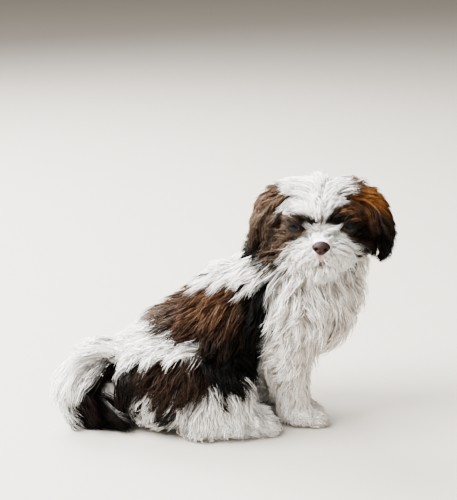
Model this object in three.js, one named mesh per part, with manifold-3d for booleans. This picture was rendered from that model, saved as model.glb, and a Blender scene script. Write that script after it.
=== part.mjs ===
// A shih tzu puppy of about three months, sitting with its head turned to its right.
// Millimetres, +Z up. The dog faces +X and its left side is +Y. It sits on the floor at Z 0.
import * as THREE from "three";
import { mergeVertices } from "three/addons/utils/BufferGeometryUtils.js";
import Module from "manifold-3d";

const wasm = await Module();
wasm.setup();

const GAP = 0.3;
const FLOOR = 0;
const SEED = 20;

const V = (x, y, z) => new THREE.Vector3(x, y, z);
const { lerp, smoothstep, clamp, degToRad } = THREE.MathUtils;
const SIDES = [-1, 1];
const SIDE_NAME = { [-1]: "right", 1: "left" };

// Landmarks of the trunk, in the plane of symmetry. half is the half width and the half depth
// of the flesh there.
const TRUNK = [
  { at: V(-66, 0, 46), half: [40, 40] },
  { at: V(-34, 0, 67), half: [44, 43] },
  { at: V(0, 0, 88), half: [45, 45] },
  { at: V(40, 0, 113), half: [46, 48] },
  { at: V(80, 0, 124), half: [43, 48] },
  { at: V(122, 0, 124), half: [33, 39] },
];
const NECK = [
  { at: V(62, 0, 140), half: [39, 42] },
  { at: V(94, 0, 167), half: [38, 43] },
  { at: V(118, -5, 190), half: [35, 37] },
];
const WAIST_X = -22;

// side is -1 on the dog's right and 1 on its left. The left foreleg stands a little further back.
const FORELEG_SETBACK = { [-1]: 0, 1: -9 };
const foreleg = (side) => {
  const x = FORELEG_SETBACK[side];
  return [
    { at: V(82 + x, side * 34, 108), half: [22, 27] },
    { at: V(80 + x, side * 36, 84), half: [17, 20] },
    { at: V(86 + x, side * 31, 52), half: [12.5, 13.5] },
    { at: V(91 + x, side * 29, 24), half: [11.5, 12] },
  ];
};
const forepaw = (side) => {
  const x = FORELEG_SETBACK[side];
  return [
    { at: V(90 + x, side * 29, 13), half: [13, 12] },
    { at: V(102 + x, side * 29, 11), half: [15, 10.5] },
    { at: V(113 + x, side * 29.5, 9), half: [14, 8.5] },
  ];
};
const thigh = (side) => [
  { at: V(-54, side * 32, 50), half: [25, 39] },
  { at: V(-20, side * 44, 54), half: [24, 38] },
  { at: V(14, side * 50, 51), half: [20, 28] },
];
const shank = (side) => [
  { at: V(17, side * 51, 47), half: [17, 19] },
  { at: V(-10, side * 52, 22), half: [14, 16] },
];
const hindfoot = (side) => [
  { at: V(-14, side * 51, 15), half: [12, 13] },
  { at: V(26, side * 55, 13), half: [13, 12] },
  { at: V(64, side * 61, 10.5), half: [15, 9.5] },
];

// Toes stand in a row across the front of a foot: how far ahead, aside and up, and their radius.
const TOE_SPREAD = [-10.5, -3.7, 3.7, 10.5];
const TOE_RADIUS = 5.6;
const TOE_AHEAD = { inner: 9, outer: 5.5 };
const TOE_FACETS = [7, 4];

// The tail rises from the rump, arches back and down, and ends in a hook on the floor.
const TAIL = [
  { at: V(-76, 0, 60), half: [11, 11] },
  { at: V(-98, -3, 75), half: [10, 10] },
  { at: V(-123, -8, 72), half: [9, 9] },
  { at: V(-139, -13, 50), half: [8, 8] },
  { at: V(-133, -18, 26), half: [7, 7] },
  { at: V(-111, -22, 15), half: [6, 6] },
  { at: V(-96, -25, 13), half: [5, 5] },
];
const TAIL_PART_Z = 52;
const TAIL_LOOP_CENTRE = V(-112, -12, 44);

// The head has a frame of its own: f forward to the nose, l to the dog's left and u up.
const HEAD_AT = V(114, -22, 214);
const HEAD_TURN_DEG = -99.4;
const HEAD_LIFT_DEG = -4;
const HEAD_FRAME = new THREE.Matrix4()
  .makeTranslation(HEAD_AT)
  .multiply(new THREE.Matrix4().makeRotationZ(degToRad(HEAD_TURN_DEG)))
  .multiply(new THREE.Matrix4().makeRotationY(degToRad(-HEAD_LIFT_DEG)));
const HEAD_INVERSE = HEAD_FRAME.clone().invert();
const headPoint = (f, l, u) => V(f, l, u).applyMatrix4(HEAD_FRAME);
const headLocal = (p) => p.clone().applyMatrix4(HEAD_INVERSE);
const headTurn = (f, l, u) => V(f, l, u).transformDirection(HEAD_FRAME);

// Ellipsoids of the head's flesh: centre and half sizes in the head's frame, and the coat's depth.
const HEAD_FORMS = {
  skull: { at: [-8, 0, 4], half: [38, 41, 38], coat: 15, facets: [14, 9] },
  brow: { at: [17, 0, 12], half: [20, 34, 17], coat: 7, facets: [10, 7] },
  cheeks: { at: [6, 0, -14], half: [28, 42, 25], coat: 16, facets: [12, 8] },
  flew_right: { at: [37, -9, -16], half: [19, 14, 12], coat: 8, facets: [10, 7] },
  flew_left: { at: [37, 9, -16], half: [19, 14, 12], coat: 8, facets: [10, 7] },
  bridge: { at: [40, 0, -5], half: [17, 8, 9], coat: 2, facets: [8, 6] },
};
const JAW_FORM = { at: [33, 0, -31], half: [18, 14, 7], coat: 12, facets: [10, 7] };
const EYE_FACETS = [10, 7];
const EYE_RADIUS = 9;
const EYE_AT = [29, 25.5, 7];
const LID_THICKNESS = 2.2;
const EYE_OPENING = { forward: 10, half: [8, 8.2, 4.2] };
const NOSE_AT = [60, 0, -4];
const NOSE_HALF = [6.5, 9, 7.5];
const NOSTRIL = { at: [6, 4.2, 0.5], half: [3.5, 1.8, 2.4] };

const EAR_BASE = [-4, 36, 27];
const EAR_CUP_DEPTH = 6;
const EAR_FACETS = { sides: 10, steps: 6, reference: headTurn(1, 0, 0) };
const ear = (side) => {
  const at = (f, l, u) => headPoint(f, side * l, u);
  return [
    { at: at(...EAR_BASE), half: [14, 6] },
    { at: at(-4, 47, 26), half: [19, 6.5] },
    { at: at(-2, 55, 12), half: [22, 8] },
    { at: at(0, 57, -12), half: [20, 7.5] },
    { at: at(2, 56, -31), half: [12, 6] },
  ];
};

// The coat over each part: its depth, and the width, length and spacing of its locks.
const COAT = {
  trunk: { depth: 18, width: 27, length: 58, spacing: 30 },
  neck: { depth: 21, width: 25, length: 46, spacing: 26 },
  foreleg: { depth: 9, width: 18, length: 34, spacing: 23 },
  forepaw: { depth: 4, width: 12, length: 16, spacing: 15 },
  thigh: { depth: 14, width: 22, length: 42, spacing: 26 },
  shank: { depth: 14, width: 19, length: 32, spacing: 21 },
  hindfoot: { depth: 10, width: 18, length: 28, spacing: 20 },
  tail: { depth: 26, width: 16, length: 42, spacing: 17 },
  ear: { depth: 10, width: 17, length: 36, spacing: 19 },
};
// On the head the locks are smallest round the nose and longest on the crown and cheeks.
const FACE_COAT = { width: 9.5, length: 20, spacing: 10, settling: 0.25 };
const CROWN_COAT = { width: 18, length: 36, spacing: 17.5, settling: 0.8 };
const FACE_REACH = [16, 62];
// Of the coat's depth, this share is a dense core under the locks.
const CORE_SHARE = 0.4;

// A lock's sections from root to tip: share of its length, width and thickness, and its height
// above the core as a share of the coat that is left there. Short locks have fewer sections.
const LONG_LOCK = [
  { along: 0, width: 0.6, thick: 0.9 },
  { along: 0.28, width: 1, thick: 1, height: 0.25 },
  { along: 0.55, width: 0.95, thick: 0.9, height: 0.6 },
  { along: 0.82, width: 0.6, thick: 0.6, height: 0.8 },
  { along: 1, width: 0, thick: 0, height: 0.8 },
];
const SHORT_LOCK = [
  { along: 0, width: 0.65, thick: 0.9 },
  { along: 0.35, width: 1, thick: 1, height: 0.25 },
  { along: 0.72, width: 0.75, thick: 0.7, height: 0.7 },
  { along: 1, width: 0, thick: 0, height: 0.75 },
];
const LONG_FROM = 50;
const LOCK_ROOT_DEPTH = 4;
const LOCK_THICKNESS = 0.15;
// How much of its extra height a lock gives up where the surface falls away below it.
const BODY_SETTLING = 0.8;
const LOCK_BEND_DEG = 30;
const SHARPEST_BEND_DEG = 40;
const SHARPEST_TWIST_DEG = 26;

// A repeatable random number from 0 to 1 for each call.
function seededRandom(seed) {
  let state = seed;
  return () => {
    state = (state * 1664525 + 1013904223) % 4294967296;
    return state / 4294967296;
  };
}
const random = seededRandom(SEED);

// A closed tube through stations, round at both ends. Every method takes grow, which makes it
// fatter all over.
class Limb {
  constructor(stations, { sides = 12, steps = 8, reference = V(0, 1, 0), cap = 0.8, capRings = 2 } = {}) {
    Object.assign(this, { stations, sides, steps, reference, cap, capRings });
    this.curve = new THREE.CatmullRomCurve3(stations.map((s) => s.at), false, "centripetal");
    this.rings = Array.from({ length: steps + 1 }, (_, i) => this.ringAt(i / steps));
  }

  // The centre, the three axes and the half sizes of the section at t, from 0 to 1.
  ringAt(t) {
    const along = this.curve.getTangent(t).normalize();
    const wide = this.reference.clone().addScaledVector(along, -this.reference.dot(along)).normalize();
    const deep = along.clone().cross(wide).normalize();
    const scaled = t * (this.stations.length - 1);
    const i = Math.min(Math.floor(scaled), this.stations.length - 2);
    const share = (smoothstep(scaled - i, 0, 1) + scaled - i) / 2;
    const half = [0, 1].map((k) => lerp(this.stations[i].half[k], this.stations[i + 1].half[k], share));
    return { at: this.curve.getPoint(t), along, wide, deep, half };
  }

  // The section that closes an end: lean runs from 0 at the last ring to a quarter turn at the pole.
  capRing(atEnd, lean, grow) {
    const ring = this.rings[atEnd ? this.steps : 0];
    const reach = (ring.half[1] + grow) * this.cap * Math.sin(lean);
    const at = ring.at.clone().addScaledVector(ring.along, atEnd ? reach : -reach);
    const half = ring.half.map((h) => (h + grow) * Math.cos(lean));
    return { ...ring, at, half };
  }

  pointOn({ at, wide, deep, half }, angle) {
    return at
      .clone()
      .addScaledVector(wide, Math.cos(angle) * half[0])
      .addScaledVector(deep, Math.sin(angle) * half[1]);
  }

  // Any point of the surface, for u from 0 at one pole to 1 at the other, and v once round.
  surfacePoint(u, v, grow) {
    const length = this.curve.getLength();
    const caps = [0, this.steps].map((i) => (this.rings[i].half[1] + grow) * this.cap);
    const s = u * (length + caps[0] + caps[1]) - caps[0];
    const angle = v * Math.PI * 2;
    if (s < 0) return this.pointOn(this.capRing(false, Math.asin(clamp(-s / caps[0], 0, 1)), grow), angle);
    if (s > length) {
      const lean = Math.asin(clamp((s - length) / caps[1], 0, 1));
      return this.pointOn(this.capRing(true, lean, grow), angle);
    }
    const ring = this.ringAt(s / length);
    return this.pointOn({ ...ring, half: ring.half.map((h) => h + grow) }, angle);
  }

  // Below 0 inside and above 0 outside: about the distance to the surface.
  distance(p, grow) {
    let best = Infinity;
    const q = V(0, 0, 0);
    const step = V(0, 0, 0);
    for (let i = 0; i < this.steps; i++) {
      const [a, b] = [this.rings[i], this.rings[i + 1]];
      step.copy(b.at).sub(a.at);
      const raw = q.copy(p).sub(a.at).dot(step) / step.lengthSq();
      const share = clamp(raw, 0, 1);
      q.copy(p).sub(a.at).addScaledVector(step, -share);
      const near = share < 0.5 ? a : b;
      const half = [0, 1].map((k) => lerp(a.half[k], b.half[k], share) + grow);
      const atPole = (i === 0 && raw < 0) || (i === this.steps - 1 && raw > 1);
      const reach = half[1] * (atPole ? this.cap : 1);
      const size = Math.hypot(q.dot(near.wide) / half[0], q.dot(near.deep) / half[1], q.dot(near.along) / reach);
      const length = q.length();
      best = Math.min(best, size < 1e-6 ? -half[1] : length * (1 - 1 / size));
    }
    return best;
  }

  geometry(grow) {
    const leans = Array.from({ length: this.capRings - 1 }, (_, k) => ((k + 1) / this.capRings) * (Math.PI / 2));
    const full = this.rings.map((ring) => ({ ...ring, half: ring.half.map((h) => h + grow) }));
    const start = leans.map((lean) => this.capRing(false, lean, grow)).reverse();
    const end = leans.map((lean) => this.capRing(true, lean, grow));
    const poles = [false, true].map((atEnd) => this.capRing(atEnd, Math.PI / 2, grow).at);
    const turn = Array.from({ length: this.sides }, (_, i) => (i / this.sides) * Math.PI * 2);
    const points = [...start, ...full, ...end].flatMap((ring) => turn.map((angle) => this.pointOn(ring, angle)));
    return closedTube(points, this.sides, poles[0], poles[1]);
  }
}

// An ellipsoid in the head's frame.
class HeadForm {
  constructor({ at, half, facets = EYE_FACETS }) {
    Object.assign(this, { at: V(...at), half, facets });
  }

  surfacePoint(u, v, grow) {
    const z = u * 2 - 1;
    const r = Math.sqrt(1 - z * z);
    const unit = [r * Math.cos(v * Math.PI * 2), r * Math.sin(v * Math.PI * 2), z];
    const local = unit.map((x, k) => x * (this.half[k] + grow));
    return V(...local).add(this.at).applyMatrix4(HEAD_FRAME);
  }

  distance(p, grow) {
    const q = headLocal(p).sub(this.at);
    const size = Math.hypot(...q.toArray().map((x, k) => x / (this.half[k] + grow)));
    return size < 1e-6 ? -this.half[2] : q.length() * (1 - 1 / size);
  }

  geometry(grow) {
    return new THREE.SphereGeometry(1, ...this.facets)
      .rotateX(Math.PI / 2)
      .scale(...this.half.map((h) => h + grow))
      .translate(...this.at.toArray())
      .applyMatrix4(HEAD_FRAME);
  }
}

// A plain ball, such as a toe.
class Ball {
  constructor(at, radius) {
    Object.assign(this, { at, radius });
  }

  distance(p, grow) {
    return p.distanceTo(this.at) - this.radius - grow;
  }

  geometry(grow) {
    return new THREE.SphereGeometry(this.radius + grow, ...TOE_FACETS).translate(...this.at.toArray());
  }
}

// Whether a four-sided face of a tube bulges away from the tube's middle when it is split from
// its first to its third corner.
function bulges([a, b, c, d], middle) {
  const normal = c.clone().sub(a).cross(d.clone().sub(b));
  const out = a.clone().add(b).add(c).add(d).multiplyScalar(0.25).sub(middle);
  const step = a.clone().add(c).sub(b).sub(d);
  return step.dot(normal) * out.dot(normal) >= 0;
}

// Rings of points joined into a tube, with a fan of triangles to a pole at each end. A face
// between two rings is split so that the tube stays convex across it, however it winds.
function closedTube(points, sides, startPole, endPole) {
  const index = [];
  const rows = points.length / sides;
  const centre = (row) => {
    const ring = points.slice(row * sides, (row + 1) * sides);
    return ring.reduce((sum, p) => sum.add(p), V(0, 0, 0)).divideScalar(sides);
  };
  for (let row = 0; row < rows - 1; row++) {
    const middle = centre(row).lerp(centre(row + 1), 0.5);
    for (let i = 0; i < sides; i++) {
      const a = row * sides + i;
      const b = row * sides + ((i + 1) % sides);
      const [c, d] = [b + sides, a + sides];
      if (bulges([a, b, c, d].map((k) => points[k]), middle)) index.push(a, b, c, a, c, d);
      else index.push(a, b, d, b, c, d);
    }
  }
  const start = points.length;
  const end = start + 1;
  const lastRow = (rows - 1) * sides;
  for (let i = 0; i < sides; i++) {
    const next = (i + 1) % sides;
    index.push(start, next, i, end, lastRow + i, lastRow + next);
  }
  const all = [...points, startPole, endPole];
  return new THREE.BufferGeometry().setFromPoints(all).setIndex(index);
}

// A closed geometry as a solid with its faces pointing out.
function solid(geometry) {
  const bare = geometry.index ? geometry.toNonIndexed() : geometry.clone();
  bare.deleteAttribute("normal");
  bare.deleteAttribute("uv");
  const merged = mergeVertices(bare, 1e-4);
  const triVerts = new Uint32Array(merged.index.array);
  const vertProperties = merged.attributes.position.array;
  const made = new wasm.Manifold(new wasm.Mesh({ numProp: 3, vertProperties, triVerts }));
  if (made.volume() > 0) return made;
  return new wasm.Manifold(new wasm.Mesh({ numProp: 3, vertProperties, triVerts: triVerts.reverse() }));
}

const join = (solids) => wasm.Manifold.union(solids);

// Every form of flesh, with the coat that grows on it. bare forms carry no locks.
const forms = {};
const addForm = (name, shape, coat, extra = {}) => {
  forms[name] = { shape, coat, core: coat.depth * CORE_SHARE, ...extra };
};
addForm("trunk", new Limb(TRUNK, { sides: 16, steps: 9, cap: 0.6, capRings: 3 }), COAT.trunk);
addForm("neck", new Limb(NECK, { sides: 14, steps: 4, cap: 0.4 }), COAT.neck);
addForm("tail", new Limb(TAIL, { sides: 8, steps: 12 }), COAT.tail);
for (const [name, form] of Object.entries({ ...HEAD_FORMS, jaw: JAW_FORM }))
  addForm(name, new HeadForm(form), { depth: form.coat }, { bare: name === "bridge" });
addForm("nose", new HeadForm({ at: NOSE_AT, half: NOSE_HALF }), { depth: 0 }, { bare: true });
for (const side of SIDES) {
  const name = SIDE_NAME[side];
  const toes = (foot, stations) => {
    const tip = stations[stations.length - 1];
    TOE_SPREAD.forEach((aside, i) => {
      const ahead = i % 3 ? TOE_AHEAD.inner : TOE_AHEAD.outer;
      const at = V(tip.at.x + ahead, tip.at.y + aside, TOE_RADIUS + 1);
      addForm(`${foot}_toe_${i}`, new Ball(at, TOE_RADIUS), { depth: 2.5 }, { bare: true });
    });
  };
  const eye = [EYE_AT[0], side * EYE_AT[1], EYE_AT[2]];
  const ball = new HeadForm({ at: eye, half: [EYE_RADIUS, EYE_RADIUS, EYE_RADIUS] });
  addForm(`eye_${name}`, ball, { depth: 0 }, { bare: true });
  addForm(`foreleg_${name}`, new Limb(foreleg(side), { sides: 10, steps: 5 }), COAT.foreleg);
  addForm(`forepaw_${name}`, new Limb(forepaw(side), { sides: 10, steps: 3 }), COAT.forepaw);
  addForm(`thigh_${name}`, new Limb(thigh(side), { sides: 12, steps: 4 }), COAT.thigh);
  addForm(`shank_${name}`, new Limb(shank(side), { sides: 10, steps: 2 }), COAT.shank);
  addForm(`hindfoot_${name}`, new Limb(hindfoot(side), { sides: 10, steps: 4 }), COAT.hindfoot);
  addForm(`ear_${name}`, new Limb(ear(side), EAR_FACETS), COAT.ear);
  toes(`forepaw_${name}`, forepaw(side));
  toes(`hindfoot_${name}`, hindfoot(side));
}

// The distance from a point to the nearest core, whichever part it belongs to.
function coreDistance(p) {
  let best = Infinity;
  for (const { shape, core } of Object.values(forms)) best = Math.min(best, shape.distance(p, core));
  return best;
}

function outward(p) {
  const EPS = 0.6;
  const here = coreDistance(p);
  const slope = (x, y, z) => coreDistance(V(p.x + x, p.y + y, p.z + z)) - here;
  return V(slope(EPS, 0, 0), slope(0, EPS, 0), slope(0, 0, EPS)).normalize();
}

// The lie of the coat: the way the hair points over each part, before it is laid on the surface.
const DOWN = V(0, 0, -1);
const blend = (a, b, share) => a.clone().lerp(b, clamp(share, 0, 1));
const lies = {
  trunk(p, n) {
    const back = blend(V(-1, 0, -0.55), V(-0.5, 0, -0.9), Math.abs(n.y) * 1.2);
    const chest = V(0.15, n.y * 0.6, -1);
    return blend(back, chest, smoothstep(n.x, 0.15, 0.6));
  },
  neck(p, n) {
    const nape = V(-1, n.y * 0.5, -0.5);
    const ruff = V(0.35 + n.x * 0.3, n.y * 0.5, -1);
    return blend(nape, ruff, smoothstep(n.x, -0.5, 0.3));
  },
  foreleg: () => V(-0.25, 0, -1),
  forepaw: () => V(1, 0, -0.6),
  thigh: (p) => V(lerp(-0.5, 0.3, smoothstep(p.x, -50, 20)), 0, -1),
  shank: () => V(-0.3, 0, -1),
  hindfoot: () => V(1, 0, -0.7),
  ear: (p, n) => DOWN.clone().addScaledVector(n, 0.1),
  tail(p, n) {
    const ring = nearestRing(forms.tail.shape, p);
    const out = p.clone().sub(TAIL_LOOP_CENTRE).normalize();
    return ring.along.clone().addScaledVector(out, 0.55).addScaledVector(n, 0.2);
  },
  head(p) {
    const local = headLocal(p);
    const away = local.clone().sub(V(...NOSE_AT)).normalize();
    const fall = lerp(0.35, 1.1, smoothstep(-local.x, -30, 25));
    return away.transformDirection(HEAD_FRAME).addScaledVector(DOWN, fall);
  },
};
const nearestRing = (limb, p) =>
  limb.rings.reduce((a, b) => (b.at.distanceTo(p) < a.at.distanceTo(p) ? b : a));

// The size of the locks that grow at p on a form.
function lockStyle(name, p) {
  const { coat } = forms[name];
  if (coat.width) return coat;
  const far = smoothstep(p.distanceTo(headPoint(...NOSE_AT)), ...FACE_REACH);
  const size = (key) => lerp(FACE_COAT[key], CROWN_COAT[key], far);
  const sizes = ["width", "length", "spacing", "settling"].map((key) => [key, size(key)]);
  return { depth: coat.depth, ...Object.fromEntries(sizes) };
}

const EYE_CLEAR = 12;
const NOSE_CLEAR = 11;
const LIP_CLEAR = { half: 6, below: -6, ahead: 44 };
const EAR_CLEAR = 9;
const FLOOR_CLEAR = 8;
const RUMP_CLEAR = 6;

// Where no lock is rooted: on lids, lips, soles and the inside of the tail's curl and of the ears.
function isBare(name, p, up) {
  if (p.z < FLOOR + FLOOR_CLEAR || (up.z < -0.5 && p.z < FLOOR + 4 * FLOOR_CLEAR)) return true;
  for (const side of SIDES) {
    const form = forms[`ear_${SIDE_NAME[side]}`];
    const onEar = form === forms[name];
    if (onEar && up.dot(headTurn(0, side, 0)) < -0.3) return true;
    if (!onEar && form.shape.distance(p, form.core) < EAR_CLEAR) return true;
    if (p.distanceTo(headPoint(EYE_AT[0] + 6, side * EYE_AT[1], EYE_AT[2])) < EYE_CLEAR) return true;
  }
  if (name === "tail") {
    const inward = TAIL_LOOP_CENTRE.clone().sub(p).normalize();
    const onRump = forms.trunk.shape.distance(p, forms.trunk.core) < RUMP_CLEAR;
    return onRump || inward.dot(up) > 0.6;
  }
  const local = headLocal(p);
  const onLips = Math.abs(local.y) < LIP_CLEAR.half && local.z < LIP_CLEAR.below && local.x > LIP_CLEAR.ahead;
  return onLips || p.distanceTo(headPoint(...NOSE_AT)) < NOSE_CLEAR;
}

// The run of a lock: it leaves the core at its root, follows the lie and rises to the coat's depth.
// There is none where the surface would bend or twist it too sharply.
function lockRun(name, root, up) {
  const style = lockStyle(name, root);
  const sections = style.length > LONG_FROM ? LONG_LOCK : SHORT_LOCK;
  const lie = lies[name.replace(/_(right|left)$/, "")] ?? lies.head;
  const left = style.depth * (1 - CORE_SHARE);
  const length = style.length * lerp(0.85, 1.15, random());
  const turn = degToRad(LOCK_BEND_DEG) * (random() - 0.5) * 2;
  const lay = (p, n) => lie(p, n).addScaledVector(n, -lie(p, n).dot(n)).normalize();
  const at = root.clone();
  const centres = [at.clone().addScaledVector(up, -LOCK_ROOT_DEPTH)];
  const ups = [up.clone()];
  for (let k = 1; k < sections.length; k++) {
    const { along, height } = sections[k];
    at.addScaledVector(lay(at, up).applyAxisAngle(up, turn * along), (along - sections[k - 1].along) * length);
    const n = outward(at);
    for (let pass = 0; pass < 2; pass++) {
      const lift = height * left - coreDistance(at);
      at.addScaledVector(n, lift > 0 ? lift : lift * (style.settling ?? BODY_SETTLING));
    }
    at.z = Math.max(at.z, FLOOR + 2);
    up.lerp(n, 0.5).normalize();
    centres.push(at.clone());
    ups.push(up.clone());
  }
  const run = centres.map((centre, k) => {
    const forward = centres[Math.min(k + 1, sections.length - 1)].clone().sub(centres[Math.max(k - 1, 0)]).normalize();
    const aside = forward.clone().cross(ups[k]).normalize();
    return { at: centre, forward, aside, top: aside.clone().cross(forward) };
  });
  const steps = run.slice(1);
  const bent = steps.some(({ forward }, k) => forward.angleTo(run[k].forward) > degToRad(SHARPEST_BEND_DEG));
  const twisted = steps.some(({ aside }, k) => aside.angleTo(run[k].aside) > degToRad(SHARPEST_TWIST_DEG));
  return bent || twisted ? null : { name, root, run, sections, width: style.width };
}

// Locks rooted evenly over the outside of every form, each clear of the others by the spacing.
function growLocks() {
  const TRIES = 2000;
  const grown = [];
  for (const [name, { shape, core, bare }] of Object.entries(forms)) {
    if (bare) continue;
    for (let i = 0; i < TRIES; i++) {
      const root = shape.surfacePoint(random(), random(), core);
      const { spacing } = lockStyle(name, root);
      if (grown.some((lock) => lock.root.distanceTo(root) < spacing) || coreDistance(root) < -0.8) continue;
      const up = outward(root);
      const lock = isBare(name, root, up) ? null : lockRun(name, root, up);
      if (lock) grown.push(lock);
    }
  }
  return grown;
}

// A lock's solid: three-sided sections, flat below and ridged above, from a blunt root to a point.
function lockSolid({ run, sections, width }, grow) {
  const points = run.slice(0, -1).flatMap(({ at, forward, aside, top }, k) => {
    const half = (width * sections[k].width) / 2;
    const thick = width * LOCK_THICKNESS * sections[k].thick;
    const edge = Math.atan(thick / half);
    const reach = half + grow / Math.tan(edge / 2);
    const base = at.clone().addScaledVector(forward, k ? 0 : -grow);
    const corner = (side, height) => base.clone().addScaledVector(aside, side).addScaledVector(top, height);
    const low = -thick * 0.3 - grow;
    return [corner(-reach, low), corner(reach, low), corner(0, thick * 0.7 + grow / Math.cos(edge))];
  });
  const end = run[run.length - 1];
  const tip = end.at.clone().addScaledVector(end.forward, grow * 3);
  const blunt = points[0].clone().add(points[1]).add(points[2]).divideScalar(3);
  return solid(closedTube(points, 3, blunt, tip));
}

const locks = growLocks();
const formSolid = (name, grow) => solid(forms[name].shape.geometry(forms[name].core + grow));
const formSolids = (names, grow) => join(names.map((name) => formSolid(name, grow)));

function noseFlesh(grow) {
  const nose = formSolid("nose", grow);
  if (grow) return nose;
  const nostril = (side) => {
    const at = [NOSE_AT[0] + NOSTRIL.at[0], side * NOSTRIL.at[1], NOSE_AT[2] + NOSTRIL.at[2]];
    return solid(new HeadForm({ at, half: NOSTRIL.half, facets: [8, 6] }).geometry(0));
  };
  return nose.subtract(nostril(-1)).subtract(nostril(1));
}

// The head's flesh with its lids. The lids part in an almond opening over each eye.
function headFlesh(grow) {
  const lids = ["eye_right", "eye_left"].map((name) => formSolid(name, LID_THICKNESS + grow));
  return join([formSolids(Object.keys(HEAD_FORMS), grow), ...lids]);
}

function lidOpening(side, grow) {
  const at = [EYE_AT[0] + EYE_OPENING.forward, side * EYE_AT[1], EYE_AT[2]];
  return solid(new HeadForm({ at, half: EYE_OPENING.half }).geometry(-grow));
}

// An ear's flap hangs as a cup, open towards the head.
function earFlesh(side, grow) {
  const shift = headTurn(0, -side, 0).multiplyScalar(EAR_CUP_DEPTH);
  const inner = ear(side).map(({ at, half }) => ({ at: at.add(shift), half: [half[0] - 3, half[1] + 1] }));
  const cup = new Limb(inner, EAR_FACETS);
  return formSolid(`ear_${SIDE_NAME[side]}`, grow).subtract(solid(cup.geometry(-grow)));
}

// One length of a limb that is parted by a plane: keep is 1 for the far side of it and -1 for
// the near side.
function partFlesh(name, axis, plane, keep, grow) {
  const facing = V(0, 0, 0).setComponent(axis, keep).toArray();
  return formSolid(name, grow).trimByPlane(facing, keep * plane + GAP / 2 - grow);
}

// The flesh of every node, grown all over by grow.
const flesh = {
  eye_right: (grow) => formSolid("eye_right", grow),
  eye_left: (grow) => formSolid("eye_left", grow),
  nose: noseFlesh,
  torso: (grow) => partFlesh("trunk", 0, WAIST_X, 1, grow),
  rump: (grow) => partFlesh("trunk", 0, WAIST_X, -1, grow),
  neck: (grow) => formSolid("neck", grow),
  head: headFlesh,
  lower_jaw: (grow) => formSolid("jaw", grow),
  tail_base: (grow) => partFlesh("tail", 2, TAIL_PART_Z, 1, grow),
  tail_tip: (grow) => partFlesh("tail", 2, TAIL_PART_Z, -1, grow),
};
for (const side of SIDES) {
  const name = SIDE_NAME[side];
  const withToes = (foot) => [foot, ...TOE_SPREAD.map((_, i) => `${foot}_toe_${i}`)];
  flesh[`ear_${name}`] = (grow) => earFlesh(side, grow);
  flesh[`foreleg_${name}`] = (grow) => formSolid(`foreleg_${name}`, grow);
  flesh[`forepaw_${name}`] = (grow) => formSolids(withToes(`forepaw_${name}`), grow);
  flesh[`thigh_${name}`] = (grow) => formSolid(`thigh_${name}`, grow);
  flesh[`hindfoot_${name}`] = (grow) => formSolids([`shank_${name}`, ...withToes(`hindfoot_${name}`)], grow);
}

// The node that a lock grows from.
function nodeOf({ name, root }) {
  if (name === "trunk") return root.x > WAIST_X ? "torso" : "rump";
  if (name === "tail") return root.z > TAIL_PART_Z ? "tail_base" : "tail_tip";
  if (name === "jaw") return "lower_jaw";
  return name in HEAD_FORMS ? "head" : name.replace("shank", "hindfoot");
}

// A node's flesh and locks as one solid.
function nodeSolid(node, grow) {
  const grown = locks.filter((lock) => nodeOf(lock) === node).map((lock) => lockSolid(lock, grow));
  const whole = join([flesh[node](grow), ...grown]);
  return node === "head" ? whole.subtract(join(SIDES.map((side) => lidOpening(side, grow)))) : whole;
}

// Each node is cut clear of the grown shapes of the nodes before it in this list.
const ORDER = [
  "eye_right", "eye_left", "nose", "torso", "rump", "neck", "lower_jaw", "head", "ear_right", "ear_left",
  "foreleg_right", "foreleg_left", "thigh_right", "thigh_left", "forepaw_right", "forepaw_left",
  "hindfoot_right", "hindfoot_left", "tail_base", "tail_tip",
];

const COLOURS = { eye: 0x1c100c, nose: 0x3a2422, white: 0xe9e5de, brown: 0x5b4032 };
function colourOf(name) {
  if (name.startsWith("eye")) return COLOURS.eye;
  if (name === "nose") return COLOURS.nose;
  return /ear|rump|thigh|tail_tip/.test(name) ? COLOURS.brown : COLOURS.white;
}

const SMALLEST_SCRAP = 5;
const SCRAP_REACH = 12;
const ROUNDS = 4;
const TOLERANCE = 0.08;
const placed = [];
const overlaps = (a, b) => [0, 1, 2].every((k) => a.min[k] < b.max[k] && b.min[k] < a.max[k]);

// A node cut clear of those already placed. Where a neighbour would cut the end off a lock, that
// lock doesn't grow.
function cutClear(node) {
  let pieces = [];
  for (let round = 0; round < ROUNDS; round++) {
    const whole = nodeSolid(node, 0);
    const near = placed.filter((other) => overlaps(other.boundingBox(), whole.boundingBox()));
    const made = (near.length ? whole.subtract(join(near)) : whole).trimByPlane([0, 0, 1], FLOOR);
    pieces = made.decompose().sort((a, b) => b.volume() - a.volume());
    const scraps = pieces.slice(1).filter((piece) => piece.volume() > SMALLEST_SCRAP);
    if (!scraps.length) break;
    for (const scrap of scraps) {
      const ends = scrap.boundingBox();
      const middle = V(...ends.min).add(V(...ends.max)).multiplyScalar(0.5);
      const away = ({ run }) => Math.min(...run.map(({ at }) => at.distanceTo(middle)));
      const own = locks.filter((lock) => nodeOf(lock) === node && away(lock) < SCRAP_REACH);
      if (own.length) locks.splice(locks.indexOf(own.reduce((a, b) => (away(b) < away(a) ? b : a))), 1);
    }
  }
  return pieces[0].simplify(TOLERANCE);
}

const model = new THREE.Group();
for (const name of ORDER) {
  const made = cutClear(name);
  placed.push(nodeSolid(name, GAP));
  const { vertProperties, triVerts, numProp } = made.getMesh();
  const geometry = new THREE.BufferGeometry();
  geometry.setAttribute("position", new THREE.BufferAttribute(vertProperties, numProp));
  geometry.setIndex(new THREE.BufferAttribute(triVerts, 1));
  const material = new THREE.MeshStandardMaterial({ color: colourOf(name), roughness: 0.9, metalness: 0 });
  const mesh = new THREE.Mesh(geometry, material);
  mesh.name = name;
  model.add(mesh);
}

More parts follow.
